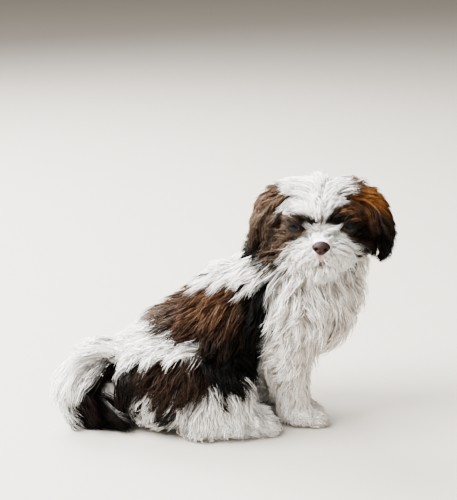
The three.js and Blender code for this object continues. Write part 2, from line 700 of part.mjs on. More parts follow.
// The origin goes to the middle of the dog's box, on the floor.
const box = new THREE.Box3().setFromObject(model);
const centre = box.getCenter(V(0, 0, 0));
model.position.set(-centre.x, -centre.y, -box.min.z);

export default model;
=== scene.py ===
import logging
import math
from dataclasses import dataclass, field
from enum import Enum
from typing import Any, Callable, Iterable, Sequence

import bpy
import numpy as np
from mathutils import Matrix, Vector
from mathutils.bvhtree import BVHTree
from mathutils.kdtree import KDTree


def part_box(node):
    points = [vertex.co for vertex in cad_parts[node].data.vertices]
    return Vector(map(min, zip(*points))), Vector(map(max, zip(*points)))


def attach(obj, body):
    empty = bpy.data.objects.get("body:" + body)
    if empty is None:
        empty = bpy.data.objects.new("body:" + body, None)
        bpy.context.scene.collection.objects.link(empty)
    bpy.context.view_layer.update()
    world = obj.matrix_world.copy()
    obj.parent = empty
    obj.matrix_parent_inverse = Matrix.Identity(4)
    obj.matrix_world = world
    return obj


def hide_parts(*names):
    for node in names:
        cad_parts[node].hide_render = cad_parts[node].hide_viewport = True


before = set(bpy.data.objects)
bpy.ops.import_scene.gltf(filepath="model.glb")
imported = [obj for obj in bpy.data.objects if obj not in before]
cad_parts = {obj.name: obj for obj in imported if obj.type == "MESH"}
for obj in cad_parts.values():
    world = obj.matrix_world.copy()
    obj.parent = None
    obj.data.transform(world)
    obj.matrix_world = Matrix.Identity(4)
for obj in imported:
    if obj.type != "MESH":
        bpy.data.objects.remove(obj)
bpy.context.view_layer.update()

log = logging.getLogger("puppy")
Array = np.ndarray
Point = tuple[float, float, float]
Outline = Sequence[tuple[float, float]]
Surface = tuple[Array, list[list[int]]]

METRE = 0.001
SEED = 7
TINY = 1e-9


# Vectors.

def unit(v: Array) -> Array:
    """Scales every vector along the last axis to length 1."""
    return v / np.maximum(np.linalg.norm(v, axis=-1, keepdims=True), TINY)


def ramp(x: Any, low: float, high: float) -> Any:
    """A smooth step from 0 at low to 1 at high, which may be the lesser, for a number or an array."""
    t = np.clip((x - low) / (high - low), 0, 1)
    return t * t * (3 - 2 * t)


def mix(a: Any, b: Any, share: Any) -> Any:
    """Blends a into b, where share is one number or one for every row.

    Args:
        a: The value at share 0.
        b: The value at share 1.
        share: From 0 to 1.

    Returns:
        The blend.
    """
    share = np.asarray(share, float)
    share = share[..., None] if share.ndim else share
    return np.asarray(a, float) * (1 - share) + np.asarray(b, float) * share


def linear(hex_code: str) -> Array:
    """Turns an sRGB colour such as "EFEAE2" into linear red, green and blue."""
    srgb = np.array([int(hex_code[i:i + 2], 16) for i in (0, 2, 4)]) / 255
    return np.where(srgb <= 0.04045, srgb / 12.92, ((srgb + 0.055) / 1.055) ** 2.4)


# The head's own frame: f forward to the nose, l to the dog's left and u up.

HEAD_AT = np.array([114.0, -22.0, 214.0])
HEAD_TURN = math.radians(-99.4)
HEAD_LIFT = math.radians(-4.0)


def head_axes() -> Array:
    """The head's forward, left and up as the columns of a matrix.

    Returns:
        A rotation matrix.
    """
    c, s = math.cos(HEAD_TURN), math.sin(HEAD_TURN)
    turn = np.array([[c, -s, 0], [s, c, 0], [0, 0, 1]])
    c, s = math.cos(-HEAD_LIFT), math.sin(-HEAD_LIFT)
    lift = np.array([[c, 0, s], [0, 1, 0], [-s, 0, c]])
    return turn @ lift


HEAD_AXES = head_axes()


def head_point(local: Any) -> Array:
    """Points of the head's frame, as forward, left and up, in the body's frame."""
    return np.asarray(local, float) @ HEAD_AXES.T + HEAD_AT


def head_local(p: Array) -> Array:
    """Points of the body's frame as forward, left and up of the head."""
    return (p - HEAD_AT) @ HEAD_AXES


EYE_AT = np.array([29.0, 25.5, 7.0])
EYE_RADIUS = 9.0
LID_THICKNESS = 1.6
LID_OPENING = (6.4, 3.6)
NOSE_AT = np.array([60.0, 0.0, -4.0])
NOSE_HALF = np.array([6.5, 9.0, 7.5])
cad_eye_low, cad_eye_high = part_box("eye_right")
SHIFT = np.array((cad_eye_low + cad_eye_high) / 2) / METRE - head_point(EYE_AT * (1, -1, 1))


def to_scene(p: Array) -> Array:
    """Points of the body's frame in metres, where the CAD model stands."""
    return (p + SHIFT) * METRE


def from_scene(p: Array) -> Array:
    """Points of the scene, in metres, in the body's frame."""
    return p / METRE - SHIFT


def eye_window(local: Array, side: "Side", wider: float = 0, higher: float = 0) -> tuple[Array, Array]:
    """Where points are as seen from the centre of an eye.

    Args:
        local: Points of the head's frame.
        side: Which eye.
        wider: How much is added to the half width of the lids' opening.
        higher: How much is added to its half height.

    Returns:
        The points from the eye's centre, and how far they are across the opening, which is 1 at its rim.
    """
    from_eye = local - EYE_AT * (1, side.value, 1)
    width, height = LID_OPENING[0] + wider, LID_OPENING[1] + higher
    return from_eye, np.hypot(from_eye[..., 1] / width, from_eye[..., 2] / height)


# Forms of flesh.

class Side(Enum):
    """The dog's own right and left, as the sign of Y."""

    RIGHT = -1
    LEFT = 1

    @property
    def label(self) -> str:
        """The side as it stands in a piece's name."""
        return self.name.lower()


def ring_faces(rows: int, sides: int, turned: bool = False) -> list[list[int]]:
    """The faces of a closed surface of rings, whose points are those of the rings and then its two poles.

    Args:
        rows: How many rings it has.
        sides: How many points a ring has.
        turned: Whether the rings run clockwise about the way from the first to the last.

    Returns:
        The faces.
    """
    faces = [
        [r * sides + k, r * sides + (k + 1) % sides, (r + 1) * sides + (k + 1) % sides, (r + 1) * sides + k]
        for r in range(rows - 1)
        for k in range(sides)
    ]
    pole = rows * sides
    last = (rows - 1) * sides
    faces += [[pole, (k + 1) % sides, k] for k in range(sides)]
    faces += [[pole + 1, last + k, last + (k + 1) % sides] for k in range(sides)]
    return [[face[0], *face[:0:-1]] for face in faces] if turned else faces


def joined(surfaces: Iterable[Surface]) -> Surface:
    """Puts surfaces together as the points and faces of one mesh.

    Args:
        surfaces: The surfaces.

    Returns:
        All their points and all their faces.
    """
    points: list[Array] = []
    faces: list[list[int]] = []
    count = 0
    for made, made_faces in surfaces:
        faces += [[i + count for i in face] for face in made_faces]
        points.append(made)
        count += len(made)
    return np.vstack(points), faces


@dataclass
class Limb:
    """A tube of oval section through stations, round at both ends.

    Args:
        stations: Where the spine passes, with the half width and half depth there.
        reference: The direction of the section's width.
        cap: How far each end reaches, as a share of the half depth.
        steps: How many lengths its spine has.
        cap_leans: How far the rings of an end lean to its pole, in degrees, from the pole inward.
    """

    stations: Sequence[tuple[Point, tuple[float, float]]]
    reference: Point = (0, 1, 0)
    cap: float = 0.8
    steps: int = 16
    cap_leans: tuple[float, ...] = (75, 50, 25)
    at: Array = field(init=False)
    along: Array = field(init=False)
    wide: Array = field(init=False)
    deep: Array = field(init=False)
    half: Array = field(init=False)

    def __post_init__(self) -> None:
        """Works out the sections."""
        points = np.array([s[0] for s in self.stations], float)
        halves = np.array([s[1] for s in self.stations], float)
        knots = np.vstack([2 * points[0] - points[1], points, 2 * points[-1] - points[-2]])
        t = np.linspace(0, len(points) - 1, self.steps + 1)
        i = np.minimum(t.astype(int), len(points) - 2)
        s = (t - i)[:, None]
        a, b, c, d = (knots[i + k] for k in range(4))
        bow, twist = 2 * a - 5 * b + 4 * c - d, 3 * b - a - 3 * c + d
        self.at = 0.5 * (2 * b + (c - a) * s + bow * s ** 2 + twist * s ** 3)
        self.along = unit(np.gradient(self.at, axis=0))
        reference = np.array(self.reference, float)
        self.wide = unit(reference - self.along * (self.along @ reference)[:, None])
        self.deep = np.cross(self.along, self.wide)
        self.half = halves[i] * (1 - s) + halves[i + 1] * s

    def distance(self, p: Array) -> Array:
        """About how far points are outside the surface. It is below 0 inside.

        Args:
            p: The points.

        Returns:
            One distance for each point.
        """
        best = np.full(len(p), np.inf)
        for i in range(self.steps):
            step = self.at[i + 1] - self.at[i]
            raw = (p - self.at[i]) @ step / (step @ step)
            share = np.clip(raw, 0, 1)
            q = p - self.at[i] - share[:, None] * step
            half = mix(self.half[i], self.half[i + 1], share)
            pole = (raw < 0) if i == 0 else (raw > 1) & (i == self.steps - 1)
            reach = half[:, 1] * np.where(pole, self.cap, 1)
            size = np.sqrt(
                (q @ self.wide[i] / half[:, 0]) ** 2
                + (q @ self.deep[i] / half[:, 1]) ** 2
                + (q @ self.along[i] / reach) ** 2
            )
            best = np.minimum(best, np.linalg.norm(q, axis=1) * (1 - 1 / np.maximum(size, TINY)))
        return best

    def nearest(self, p: Array) -> Array:
        """The index of the section nearest to each point.

        Args:
            p: The points.

        Returns:
            One index for each point.
        """
        return np.argmin(np.linalg.norm(p[:, None] - self.at[None], axis=2), axis=1)

    def surface(self, sides: int = 24) -> Surface:
        """The closed surface.

        Args:
            sides: Points round each section.

        Returns:
            Its points and its faces.
        """
        leans = np.radians(self.cap_leans)
        rings = []
        for i, lean, sign in (
            [(0, x, -1) for x in leans]
            + [(k, 0.0, 1) for k in range(self.steps + 1)]
            + [(self.steps, x, 1) for x in leans[::-1]]
        ):
            reach = self.half[i][1] * self.cap * math.sin(lean) * sign
            rings.append((self.at[i] + self.along[i] * reach, self.half[i] * math.cos(lean), i))
        turn = np.linspace(0, 2 * math.pi, sides, endpoint=False)
        across, over = np.cos(turn), np.sin(turn)
        points = [
            at + np.outer(across * half[0], self.wide[i]) + np.outer(over * half[1], self.deep[i])
            for at, half, i in rings
        ]
        poles = [
            self.at[k] + sign * self.along[k] * self.half[k][1] * self.cap for k, sign in ((0, -1), (-1, 1))
        ]
        return np.vstack([*points, *poles]), ring_faces(len(rings), sides)


@dataclass
class Ellipsoid:
    """An ellipsoid, in the head's frame if in_head is set.

    Args:
        at: Its centre.
        half: Its half sizes.
        in_head: Whether both are in the head's frame.
    """

    at: Any
    half: Any
    in_head: bool = True

    def distance(self, p: Array) -> Array:
        """About how far points are outside the surface.

        Args:
            p: The points.

        Returns:
            One distance for each point.
        """
        q = (head_local(p) if self.in_head else p) - np.array(self.at, float)
        size = np.linalg.norm(q / np.array(self.half, float), axis=1)
        return np.linalg.norm(q, axis=1) * (1 - 1 / np.maximum(size, TINY))

    def surface(self, sides: int = 28) -> Surface:
        """The closed surface.

        Args:
            sides: Points round it.

        Returns:
            Its points and its faces.
        """
        lat = np.linspace(0, math.pi, sides // 2 + 1)[1:-1]
        turn = np.linspace(0, 2 * math.pi, sides, endpoint=False)
        grid = [
            (math.sin(a) * math.cos(b), math.sin(a) * math.sin(b), math.cos(a)) for a in lat for b in turn
        ]
        ball = np.array([*grid, (0, 0, 1), (0, 0, -1)])
        local = ball * np.array(self.half, float) + np.array(self.at, float)
        faces = ring_faces(len(lat), sides, turned=True)
        return (head_point(local) if self.in_head else local), faces


TAIL_LOOP_CENTRE = np.array([-112.0, -12.0, 44.0])
EAR_STATIONS = (
    ((-6, 31, 29), (14, 5)),
    ((-5, 45, 28), (17, 4)),
    ((-3, 58, 14), (19, 3.5)),
    ((0, 62, -6), (16, 3)),
    ((2, 60, -23), (8, 2.5)),
)
FORELEG_SETBACK = {Side.RIGHT: 0, Side.LEFT: -9}
TOE_SPREAD = (-10.5, -3.7, 3.7, 10.5)
TOE_AHEAD = (3.5, 6.5, 6.5, 3.5)
TOE_RADIUS = 5.6


def forepaw_tip(side: Side) -> Point:
    """Where a forepaw ends behind its toes."""
    return (108 + FORELEG_SETBACK[side], side.value * 29.5, 9.5)


def hindfoot_tip(side: Side) -> Point:
    """Where a hind foot, which turns a little inward, ends behind its toes."""
    return (54, side.value * 46, 10.5)


def toe_places(tip: Point) -> list[Point]:
    """The centres of the four toes, from right to left, of a foot that ends at tip."""
    return [(tip[0] + a, tip[1] + y, TOE_RADIUS + 1) for a, y in zip(TOE_AHEAD, TOE_SPREAD)]


@dataclass
class Form:
    """A form of flesh and the region of coat that it carries.

    Args:
        shape: The limb or ellipsoid.
        region: The name of its coat's region.
    """

    shape: Any
    region: str


def body_forms() -> dict[str, Form]:
    """Every form of flesh by name.

    Returns:
        The forms.
    """
    forms = {
        "trunk": Form(Limb((
            ((-66, 0, 46), (40, 40)), ((-34, 0, 67), (44, 43)), ((0, 0, 88), (45, 45)),
            ((40, 0, 113), (46, 48)), ((80, 0, 124), (43, 48)), ((122, 0, 124), (33, 39)),
        ), cap=0.6, steps=24), "trunk"),
        "neck": Form(Limb((
            ((62, 0, 140), (39, 42)), ((94, 0, 167), (38, 43)), ((118, -5, 190), (35, 37)),
        ), cap=0.4), "neck"),
        "tail": Form(Limb((
            ((-76, 0, 60), (11, 11)), ((-98, -3, 75), (10, 10)), ((-123, -8, 72), (9, 9)),
            ((-139, -13, 50), (8, 8)), ((-133, -18, 26), (7, 7)), ((-111, -22, 15), (6, 6)),
            ((-96, -25, 13), (5, 5)),
        ), steps=36), "tail"),
        "curl_fill": Form(Ellipsoid((-108, -9, 30), (19, 16, 19), in_head=False), "tail"),
        "skull": Form(Ellipsoid((-8, 0, 4), (38, 41, 38)), "skull"),
        "brow": Form(Ellipsoid((17, 0, 12), (20, 34, 17)), "brow"),
        "cheeks": Form(Ellipsoid((6, 0, -14), (28, 42, 25)), "cheeks"),
        "bridge": Form(Ellipsoid((40, 0, -5), (17, 8, 9)), "muzzle"),
        "jaw": Form(Ellipsoid((33, 0, -31), (18, 14, 7)), "jaw"),
    }
    for side in Side:
        s, name, x = side.value, side.label, FORELEG_SETBACK[side]
        foreleg = (
            ((82 + x, s * 34, 108), (22, 27)), ((80 + x, s * 36, 84), (17, 20)),
            ((86 + x, s * 31, 52), (12.5, 13.5)), ((91 + x, s * 29, 24), (11.5, 12)),
        )
        forepaw = (
            ((90 + x, s * 29, 14), (13, 13)), ((100 + x, s * 29, 12), (15, 11.5)),
            (forepaw_tip(side), (14, 9.5)),
        )
        hindfoot = (
            ((-14, s * 52, 15), (12, 13)), ((20, s * 52, 13), (13, 12)),
            (hindfoot_tip(side), (15, 9.5)),
        )
        thigh = (((-54, s * 32, 50), (25, 39)), ((-20, s * 44, 54), (24, 38)), ((14, s * 50, 51), (20, 28)))
        shank = (((17, s * 51, 47), (17, 19)), ((-10, s * 52, 22), (14, 16)))
        ear = [(tuple(head_point((f, s * l, u))), half) for (f, l, u), half in EAR_STATIONS]
        forms[f"behind_ear_{name}"] = Form(Ellipsoid((-9, s * 44, 1), (17, 12, 22)), "cheeks")
        forms[f"ankle_{name}"] = Form(Ellipsoid((24, s * 52, 29), (16, 12, 12), in_head=False), "shank")
        forms[f"flew_{name}"] = Form(Ellipsoid((37, s * 9, -16), (19, 14, 12)), "muzzle")
        forms[f"foreleg_{name}"] = Form(Limb(foreleg), "foreleg")
        forms[f"forepaw_{name}"] = Form(Limb(forepaw), "forepaw")
        forms[f"thigh_{name}"] = Form(Limb(thigh), "thigh")
        forms[f"shank_{name}"] = Form(Limb(shank), "shank")
        forms[f"hindfoot_{name}"] = Form(Limb(hindfoot), "hindfoot")
        forms[f"ear_{name}"] = Form(Limb(ear, reference=tuple(HEAD_AXES[:, 0])), "ear")
        for foot, stations in (("forepaw", forepaw), ("hindfoot", hindfoot)):
            for i, at in enumerate(toe_places(stations[-1][0])):
                ball = Ellipsoid(at, (TOE_RADIUS + 1, TOE_RADIUS - 0.6, TOE_RADIUS), in_head=False)
                forms[f"{foot}_{name}_toe_{i}"] = Form(ball, foot)
    return forms


FORMS = body_forms()


# The coat.

@dataclass(frozen=True)
class CoatStyle:
    """How the hair of a region grows, in millimetres.

    Args:
        depth: How far the coat stands above the skin.
        length: How long its tufts are.
        width: How wide a tuft is at its widest.
        spacing: How far apart the locks are that tufts gather into.
        density: Tufts to a square centimetre, before all are scaled to the budget.
        gather: How strongly tufts gather at a lock's tip, from 0 to 1.
        stray: How far a tuft's tip strays from its lock.
        settle: How much of its extra height hair gives up where the skin falls away.
        wave: How far a lock waves from side to side.
    """

    depth: float
    length: float
    width: float
    spacing: float
    density: float
    gather: float = 0.65
    stray: float = 3.0
    settle: float = 0.7
    wave: float = 1.5


STYLES = {
    "trunk": CoatStyle(17, 42, 0.85, 9, 17, gather=0.38, stray=2.4, wave=2.4),
    "neck": CoatStyle(22, 44, 0.8, 9, 20, gather=0.35, stray=2.4, wave=1.8),
    "tail": CoatStyle(20, 44, 0.8, 8, 46, gather=0.38, stray=4, settle=0.3, wave=2),
    "skull": CoatStyle(12, 31, 0.6, 7, 50, gather=0.25, stray=1.2, settle=0.95, wave=1.1),
    "brow": CoatStyle(7, 15, 0.5, 4.5, 75, gather=0.4, stray=1.2, wave=0.6),
    "cheeks": CoatStyle(14, 28, 0.6, 6, 52, gather=0.42, stray=1.8, settle=0.9, wave=1.5),
    "muzzle": CoatStyle(12, 28, 0.5, 4.5, 95, gather=0.5, stray=1.6, settle=0.15, wave=1.2),
    "jaw": CoatStyle(13, 28, 0.55, 5, 75, gather=0.5, stray=1.8, settle=0.15, wave=1.2),
    "foreleg": CoatStyle(10, 28, 0.75, 7, 30, gather=0.35, stray=2.4, wave=2.4),
    "forepaw": CoatStyle(5, 10, 0.55, 5, 60, gather=0.3, stray=1.3, wave=0.6),
    "thigh": CoatStyle(13, 36, 0.85, 8, 22, gather=0.38, stray=2.4, wave=2.6),
    "shank": CoatStyle(13, 30, 0.8, 8, 28, gather=0.35, stray=2.5, wave=2.2),
    "hindfoot": CoatStyle(7, 15, 0.65, 6, 42, gather=0.3, stray=1.8, wave=1.2),
    "ear": CoatStyle(11, 30, 0.65, 6, 80, gather=0.42, stray=2, settle=0.4, wave=1.8),
}
REGIONS = list(STYLES)


@dataclass(frozen=True)
class Zone:
    """A zone of a region where the coat grows otherwise than the region's style says.

    Args:
        regions: The regions that it is in.
        bounds: A measure of the roots, where the zone starts on it, and from where it is full.
        depth: The share by which the coat is deeper where the zone is full.
        length: The share by which its hair is longer there.
    """

    regions: tuple[str, ...]
    bounds: tuple[tuple[str, float, float], ...]
    depth: float = 0.0
    length: float = 0.0


CROWN = (("up", 20, 34), ("off_middle", 30, 12))
NAPE = (("faces_ahead", -0.05, -0.5),)
ZONES = {
    "crown": (
        Zone(("skull",), CROWN, depth=0.24),
        Zone(("skull",), (*CROWN, ("left", -4, 10)), depth=0.22),
    ),
    "parting": (Zone(("skull",), (*CROWN, ("off_middle", 13, 4)), depth=-0.22),),
    "temple": (Zone(("skull",), (("off_middle", 24, 36), ("up", 10, 24)), depth=-0.75, length=-0.4),),
    "ear_top": (Zone(("ear",), (("up", 8, 26),), depth=-0.3),),
    "nape": (
        Zone(("neck",), NAPE, depth=0.05),
        Zone(("neck",), (*NAPE, ("z", 168, 190)), depth=-0.75),
    ),
    "ruff": (Zone(("neck", "trunk"), (("faces_ahead", 0.5, 0.9), ("z", 120, 160)), depth=0.35),),
    "belly": (Zone(("trunk",), (("faces_up", 0, -0.5), ("x", 0, 30)), depth=0.3, length=0.35),),
    "rump": (Zone(("trunk",), (("x", -50, -80), ("faces_up", 0.1, 0.6)), depth=-0.75),),
    "buttock": (Zone(("trunk", "thigh"), (("x", -72, -98), ("z", 90, 60)), depth=0.5),),
    "shin": (Zone(("foreleg",), (("z", 90, 50), ("faces_ahead", -0.2, 0.3)), depth=-0.7),),
    "feathering": (Zone(("foreleg",), (("faces_ahead", -0.1, -0.7), ("z", 30, 60)), depth=0.6),),
    "above_the_curl": (Zone(("tail",), (("faces_up", 0.1, 0.7), ("x", -146, -124)), depth=-0.9),),
    "in_the_curl": (Zone(("tail",), (("faces_curl", 0.2, 0.8),), depth=0.6),),
    "below_the_curl": (Zone(("tail",), (("z", 34, 16),), depth=-0.4),),
}
LOCK_CANDIDATES = 26000
LOCK_STEPS = 8
TUFT_BUDGET = 73000
MOST_TUFTS_IN_A_PIECE = 9900
# The tuft's share of its length, its share of its width and its shade at each of its points, a painted shade
# that is darkest at the root, deep in the coat, and lightest at the tip.
TUFT_SHAPE = ((0, 0.8, 0.88), (0.36, 1.0, 0.96), (0.72, 0.8, 1.02), (1, 0.1, 1.06))
TUFT_POINTS = len(TUFT_SHAPE)

DOWN = np.array([0.0, 0.0, -1.0])


def heading(x: Any, y: Any, z: Any, count: int) -> Array:
    """One direction for each of count points, from parts that are each a number or an array."""
    return np.column_stack([np.broadcast_to(part, count) for part in (x, y, z)]).astype(float)


# How the coat lies. Each lie takes points of the skin and the normals there, and gives the way that the
# hair points.


def lie_trunk(p: Array, n: Array) -> Array:
    """The trunk's coat runs back and down, and straight down on the chest.

    Args:
        p: Points of the skin.
        n: The normals there.

    Returns:
        The way of the hair.
    """
    back = mix((-1, 0, -0.55), (-0.5, 0, -0.9), np.clip(np.abs(n[:, 1]) * 1.2, 0, 1))
    chest = heading(0.15, n[:, 1] * 0.6, -1, len(p))
    return mix(back, chest, ramp(n[:, 0], 0.15, 0.6))


def lie_neck(p: Array, n: Array) -> Array:
    """The nape's coat runs back, and the ruff falls forward and down.

    Args:
        p: Points of the skin.
        n: The normals there.

    Returns:
        The way of the hair.
    """
    nape = heading(-1, n[:, 1] * 0.5, -0.5, len(p))
    ruff = heading(0.35 + n[:, 0] * 0.3, n[:, 1] * 0.5, -1, len(p))
    return mix(nape, ruff, ramp(n[:, 0], -0.5, 0.3))


def lie_thigh(p: Array, n: Array) -> Array:
    """The thigh's coat falls, backward on the buttock and forward over the knee."""
    return heading(mix(-0.5, 0.3, ramp(p[:, 0], -50, 20))[:, 0], 0, -1, len(p))


def lie_tail(p: Array, n: Array) -> Array:
    """The tail's plume runs to its tip and fans out of its curl.

    Args:
        p: Points of the skin.
        n: The normals there.

    Returns:
        The way of the hair.
    """
    tail = FORMS["tail"].shape
    out = unit(p - TAIL_LOOP_CENTRE)
    return tail.along[tail.nearest(p)] + out * (0.75 - 0.35 * ramp(p[:, 2], 30, 66))[:, None]


def lie_head(p: Array, n: Array) -> Array:
    """The head's coat radiates from the nose, parts on the crown and falls at the sides and back.

    Args:
        p: Points of the skin.
        n: The normals there.

    Returns:
        The way of the hair.
    """
    ahead, left, up = head_local(p).T
    off_middle = np.abs(left)
    at_side = ramp(off_middle, 18, 34)
    parting = np.sign(left) * ramp(off_middle, 0, 20) * (1 - 0.7 * at_side) * ramp(up, 10, 32)
    away = unit(head_local(p) - NOSE_AT) + heading(0, parting, 0, len(p))
    fall = 0.2 + ramp(-ahead, -30, 20) + 1.4 * at_side * ramp(up, 12, 26)
    return away @ HEAD_AXES.T + fall[:, None] * DOWN


def lie_muzzle(p: Array, n: Array) -> Array:
    """The muzzle's hair radiates from the nose."""
    away = unit(head_local(p) - NOSE_AT + (6, 0, 0))
    return away @ HEAD_AXES.T + 0.15 * DOWN + n * 0.25


def lie_ear(p: Array, n: Array) -> Array:
    """The ear's coat runs outward over its root and falls."""
    outward = np.outer(np.sign(head_local(p)[:, 1]), HEAD_AXES[:, 1])
    return DOWN + outward * 0.7


def lie_along(direction: Point) -> Callable[[Array, Array], Array]:
    """A lie that is the same all over a region."""
    return lambda p, n: heading(*direction, len(p))


def lie_foreleg(p: Array, n: Array) -> Array:
    """The foreleg's coat falls, and its feathering behind stands back."""
    behind = ramp(-n[:, 0], 0.1, 0.7) * ramp(p[:, 2], 30, 60)
    return mix((-0.25, 0, -1), (-0.9, 0, -0.6), behind)


LIES: dict[str, Callable[[Array, Array], Array]] = {
    "trunk": lie_trunk,
    "neck": lie_neck,
    "tail": lie_tail,
    "skull": lie_head,
    "brow": lie_head,
    "cheeks": lie_head,
    "muzzle": lie_muzzle,
    "jaw": lie_muzzle,
    "foreleg": lie_foreleg,
    "forepaw": lie_along((1, 0, -0.6)),
    "thigh": lie_thigh,
    "shank": lie_along((-0.2, 0, -1)),
    "hindfoot": lie_along((1, 0, -0.7)),
    "ear": lie_ear,
}


# Markings.

WHITE = linear("F6F3EF")
CREAM = linear("E6D6C2")
GOLD = linear("4A3220")
ORANGE = linear("653C18")
BROWN = linear("21150E")
DUST = linear("6E5B4E")
GREY_BROWN = linear("544437")
DARK = linear("120A07")
BLACK = linear("040302")
PINK = linear("B88C82")

# The outlines of the markings are as they show from here.
VIEWED_FROM = np.array([-83.0, -1202.0, 535.0])
FLANK_Y = -60.0
# How wide the blurred edge of a marking is.
BODY_EDGE = 5.0
TAIL_EDGE = 6.0
FACE_EDGE = 3.5
STREAK_EDGE = 3.0
# Outlines of the dark patches where they show on the right flank, as X and Z at FLANK_Y.
SADDLE = (
    (-67, 134), (-58, 152), (-42, 163), (-21, 166), (0, 170), (17, 163), (34, 160), (52, 166),
    (61, 131), (58, 107), (50, 76), (39, 55), (5, 50), (-6, 66), (-10, 86), (-31, 107), (-58, 119),
)
HAUNCH = (
    (-112, 74), (-96, 80), (-76, 86), (-51, 85), (-33, 83), (-17, 86), (-8, 84), (44, 76), (36, 48), (18, 41),
    (-5, 40), (-17, 36), (-28, 27), (-22, 5), (-34, -6), (-64, -8), (-114, -4), (-112, 40),
)
WHITE_STREAKS = (
    ((-78, 48), (-66, 40), (-56, 20), (-46, 6), (-56, 4), (-70, 20)),
    ((-42, 36), (-30, 34), (-26, 8), (-34, 6)),
)
# The outline of the curl's dark inside, which is partly dark hair and partly painted shade of its hollow.
CURL = (
    (-127, 76), (-112, 76), (-86, 79), (-80, 50), (-70, 20), (-62, -8), (-112, -6), (-146, 12),
    (-147, 26), (-135, 44), (-125, 58),
)
# A white lock that falls into the curl.
CURL_LOCK = ((-103, 69), (-95, 68), (-89, 52), (-95, 40), (-102, 52))
# Outlines on the face, as left and up of the head's frame at FACE_AHEAD.
FACE_AHEAD = 30.0
BLAZE = (
    (-2, 17), (-14, 21), (-25, 23), (-44, 21), (-41, 39), (-35, 56), (-27, 78), (20, 78), (22, 62),
    (28, 46), (26, 36), (17, 29), (8, 23), (2, 17),
)
MUZZLE = (
    (1, 11), (6, 8), (16, 6), (23, -1), (28, -8), (34, -17), (40, -30), (46, -42), (36, -50), (10, -66),
    (-24, -66), (-37, -46), (-35, -20), (-29, -12), (-16, -7), (-13, -1), (-4, 8),
)
BROW_PATCHES = (
    ((-26, 17), (-16, 20), (-5, 18), (0, 14), (-4, 9), (-14, 9), (-26, 9)),
    ((0, 14), (5, 20), (18, 20), (30, 16), (40, 4), (36, -2), (26, 2), (18, 9), (6, 10)),
)
CHEEK_EDGES = (
    ((-70, -20), (-64, -40), (-42, -56), (-22, -62), (-30, -50), (-45, -42), (-57, -26)),
    ((42, -8), (60, -4), (62, -34), (57, -40), (50, -28)),
)
CHEEK_SIDES = (
    ((-80, 12), (-74, -20), (-64, -42), (-42, -57), (-22, -62), (-30, -46), (-38, -30), (-32, 12)),
    ((40, 22), (66, 24), (66, -34), (54, -48), (46, -32)),
)


def flank_place(p: Array, mirrored: bool = True) -> Array:
    """Where points show on the flank's plane, seen from the right.

    Args:
        p: Points of the body.
        mirrored: Whether the left side has the same markings.

    Returns:
        X and Z on the plane.
    """
    folded = p.copy()
    if mirrored:
        folded[:, 1] = -np.abs(p[:, 1])
    ray = folded - VIEWED_FROM
    hit = VIEWED_FROM + ray * ((FLANK_Y - VIEWED_FROM[1]) / ray[:, 1])[:, None]
    return hit[:, [0, 2]]


def face_place(p: Array) -> Array:
    """Where points show on a plane across the face, seen from the front.

    Args:
        p: Points of the head.

    Returns:
        Left and up on the plane.
    """
    viewer = head_local(VIEWED_FROM)
    ray = head_local(p) - viewer
    hit = viewer + ray * ((FACE_AHEAD - viewer[0]) / ray[:, 0])[:, None]
    return hit[:, 1:]


def inside(q: Array, outline: Outline, soft: float) -> Array:
    """How far points of a plane are inside an outline, as 0 outside and 1 inside with a soft edge.

    Args:
        q: Points of the plane.
        outline: The outline's corners in order.
        soft: The edge's width.

    Returns:
        One share for each point.
    """
    corners = np.array(outline, float)
    nearest = np.full(len(q), np.inf)
    crossings = np.zeros(len(q), int)
    for a, b in zip(corners, np.roll(corners, -1, axis=0)):
        share = np.clip((q - a) @ (b - a) / ((b - a) @ (b - a)), 0, 1)
        nearest = np.minimum(nearest, np.linalg.norm(q - a - share[:, None] * (b - a), axis=1))
        spans = (a[1] > q[:, 1]) != (b[1] > q[:, 1])
        rise = b[1] - a[1] if b[1] != a[1] else TINY
        crossings += spans & (q[:, 0] < (b[0] - a[0]) * (q[:, 1] - a[1]) / rise + a[0])
    signed = np.where(crossings % 2 == 1, nearest, -nearest)
    return ramp(signed, -soft, soft)


def body_markings(p: Array) -> Array:
    """The coat's colour on the trunk, neck, legs and tail.

    Args:
        p: Points of the coat.

    Returns:
        One linear colour for each point.
    """
    q = flank_place(p)
    x, z = q[:, 0], q[:, 1]
    # The front of the chest is painted creamier and a little darker, a painted shade for the chest that faces
    # away from the light.
    colour = mix(np.tile(WHITE, (len(p), 1)), CREAM, ramp(p[:, 0], 40, 100) * 0.3)
    # The saddle is dusty behind, golden in the middle of the back, and black in front and below.
    saddle = mix(BROWN, DUST, ramp(-x, 20, 55) * ramp(z, 120, 150) * 0.6)
    saddle = mix(saddle, GOLD, ramp(z, 108, 140) * (1 - ramp(np.abs(x), 14, 42)) * 0.75)
    saddle = mix(saddle, BLACK, np.maximum(ramp(x, 14, 34), ramp(-z, -112, -90)))
    colour = mix(colour, saddle, inside(q, SADDLE, BODY_EDGE))
    # The haunch is brown with black below, behind and in front.
    haunch = mix(BROWN, BLACK, np.maximum(ramp(-z, -46, -20), ramp(-x, 60, 84)))
    haunch = mix(haunch, BLACK, ramp(x, -22, 2))
    colour = mix(colour, haunch, inside(q, HAUNCH, BODY_EDGE))
    # Painted shade: the hair below the tail's root is darkened, as the tail and buttock shade it.
    shade_under_tail = ramp(-p[:, 0], 84, 98) * ramp(-p[:, 2], -84, -72)
    colour = mix(colour, DARK, shade_under_tail)
    for streak in WHITE_STREAKS:
        colour = mix(colour, WHITE, inside(q, streak, STREAK_EDGE) * 0.8)
    return colour


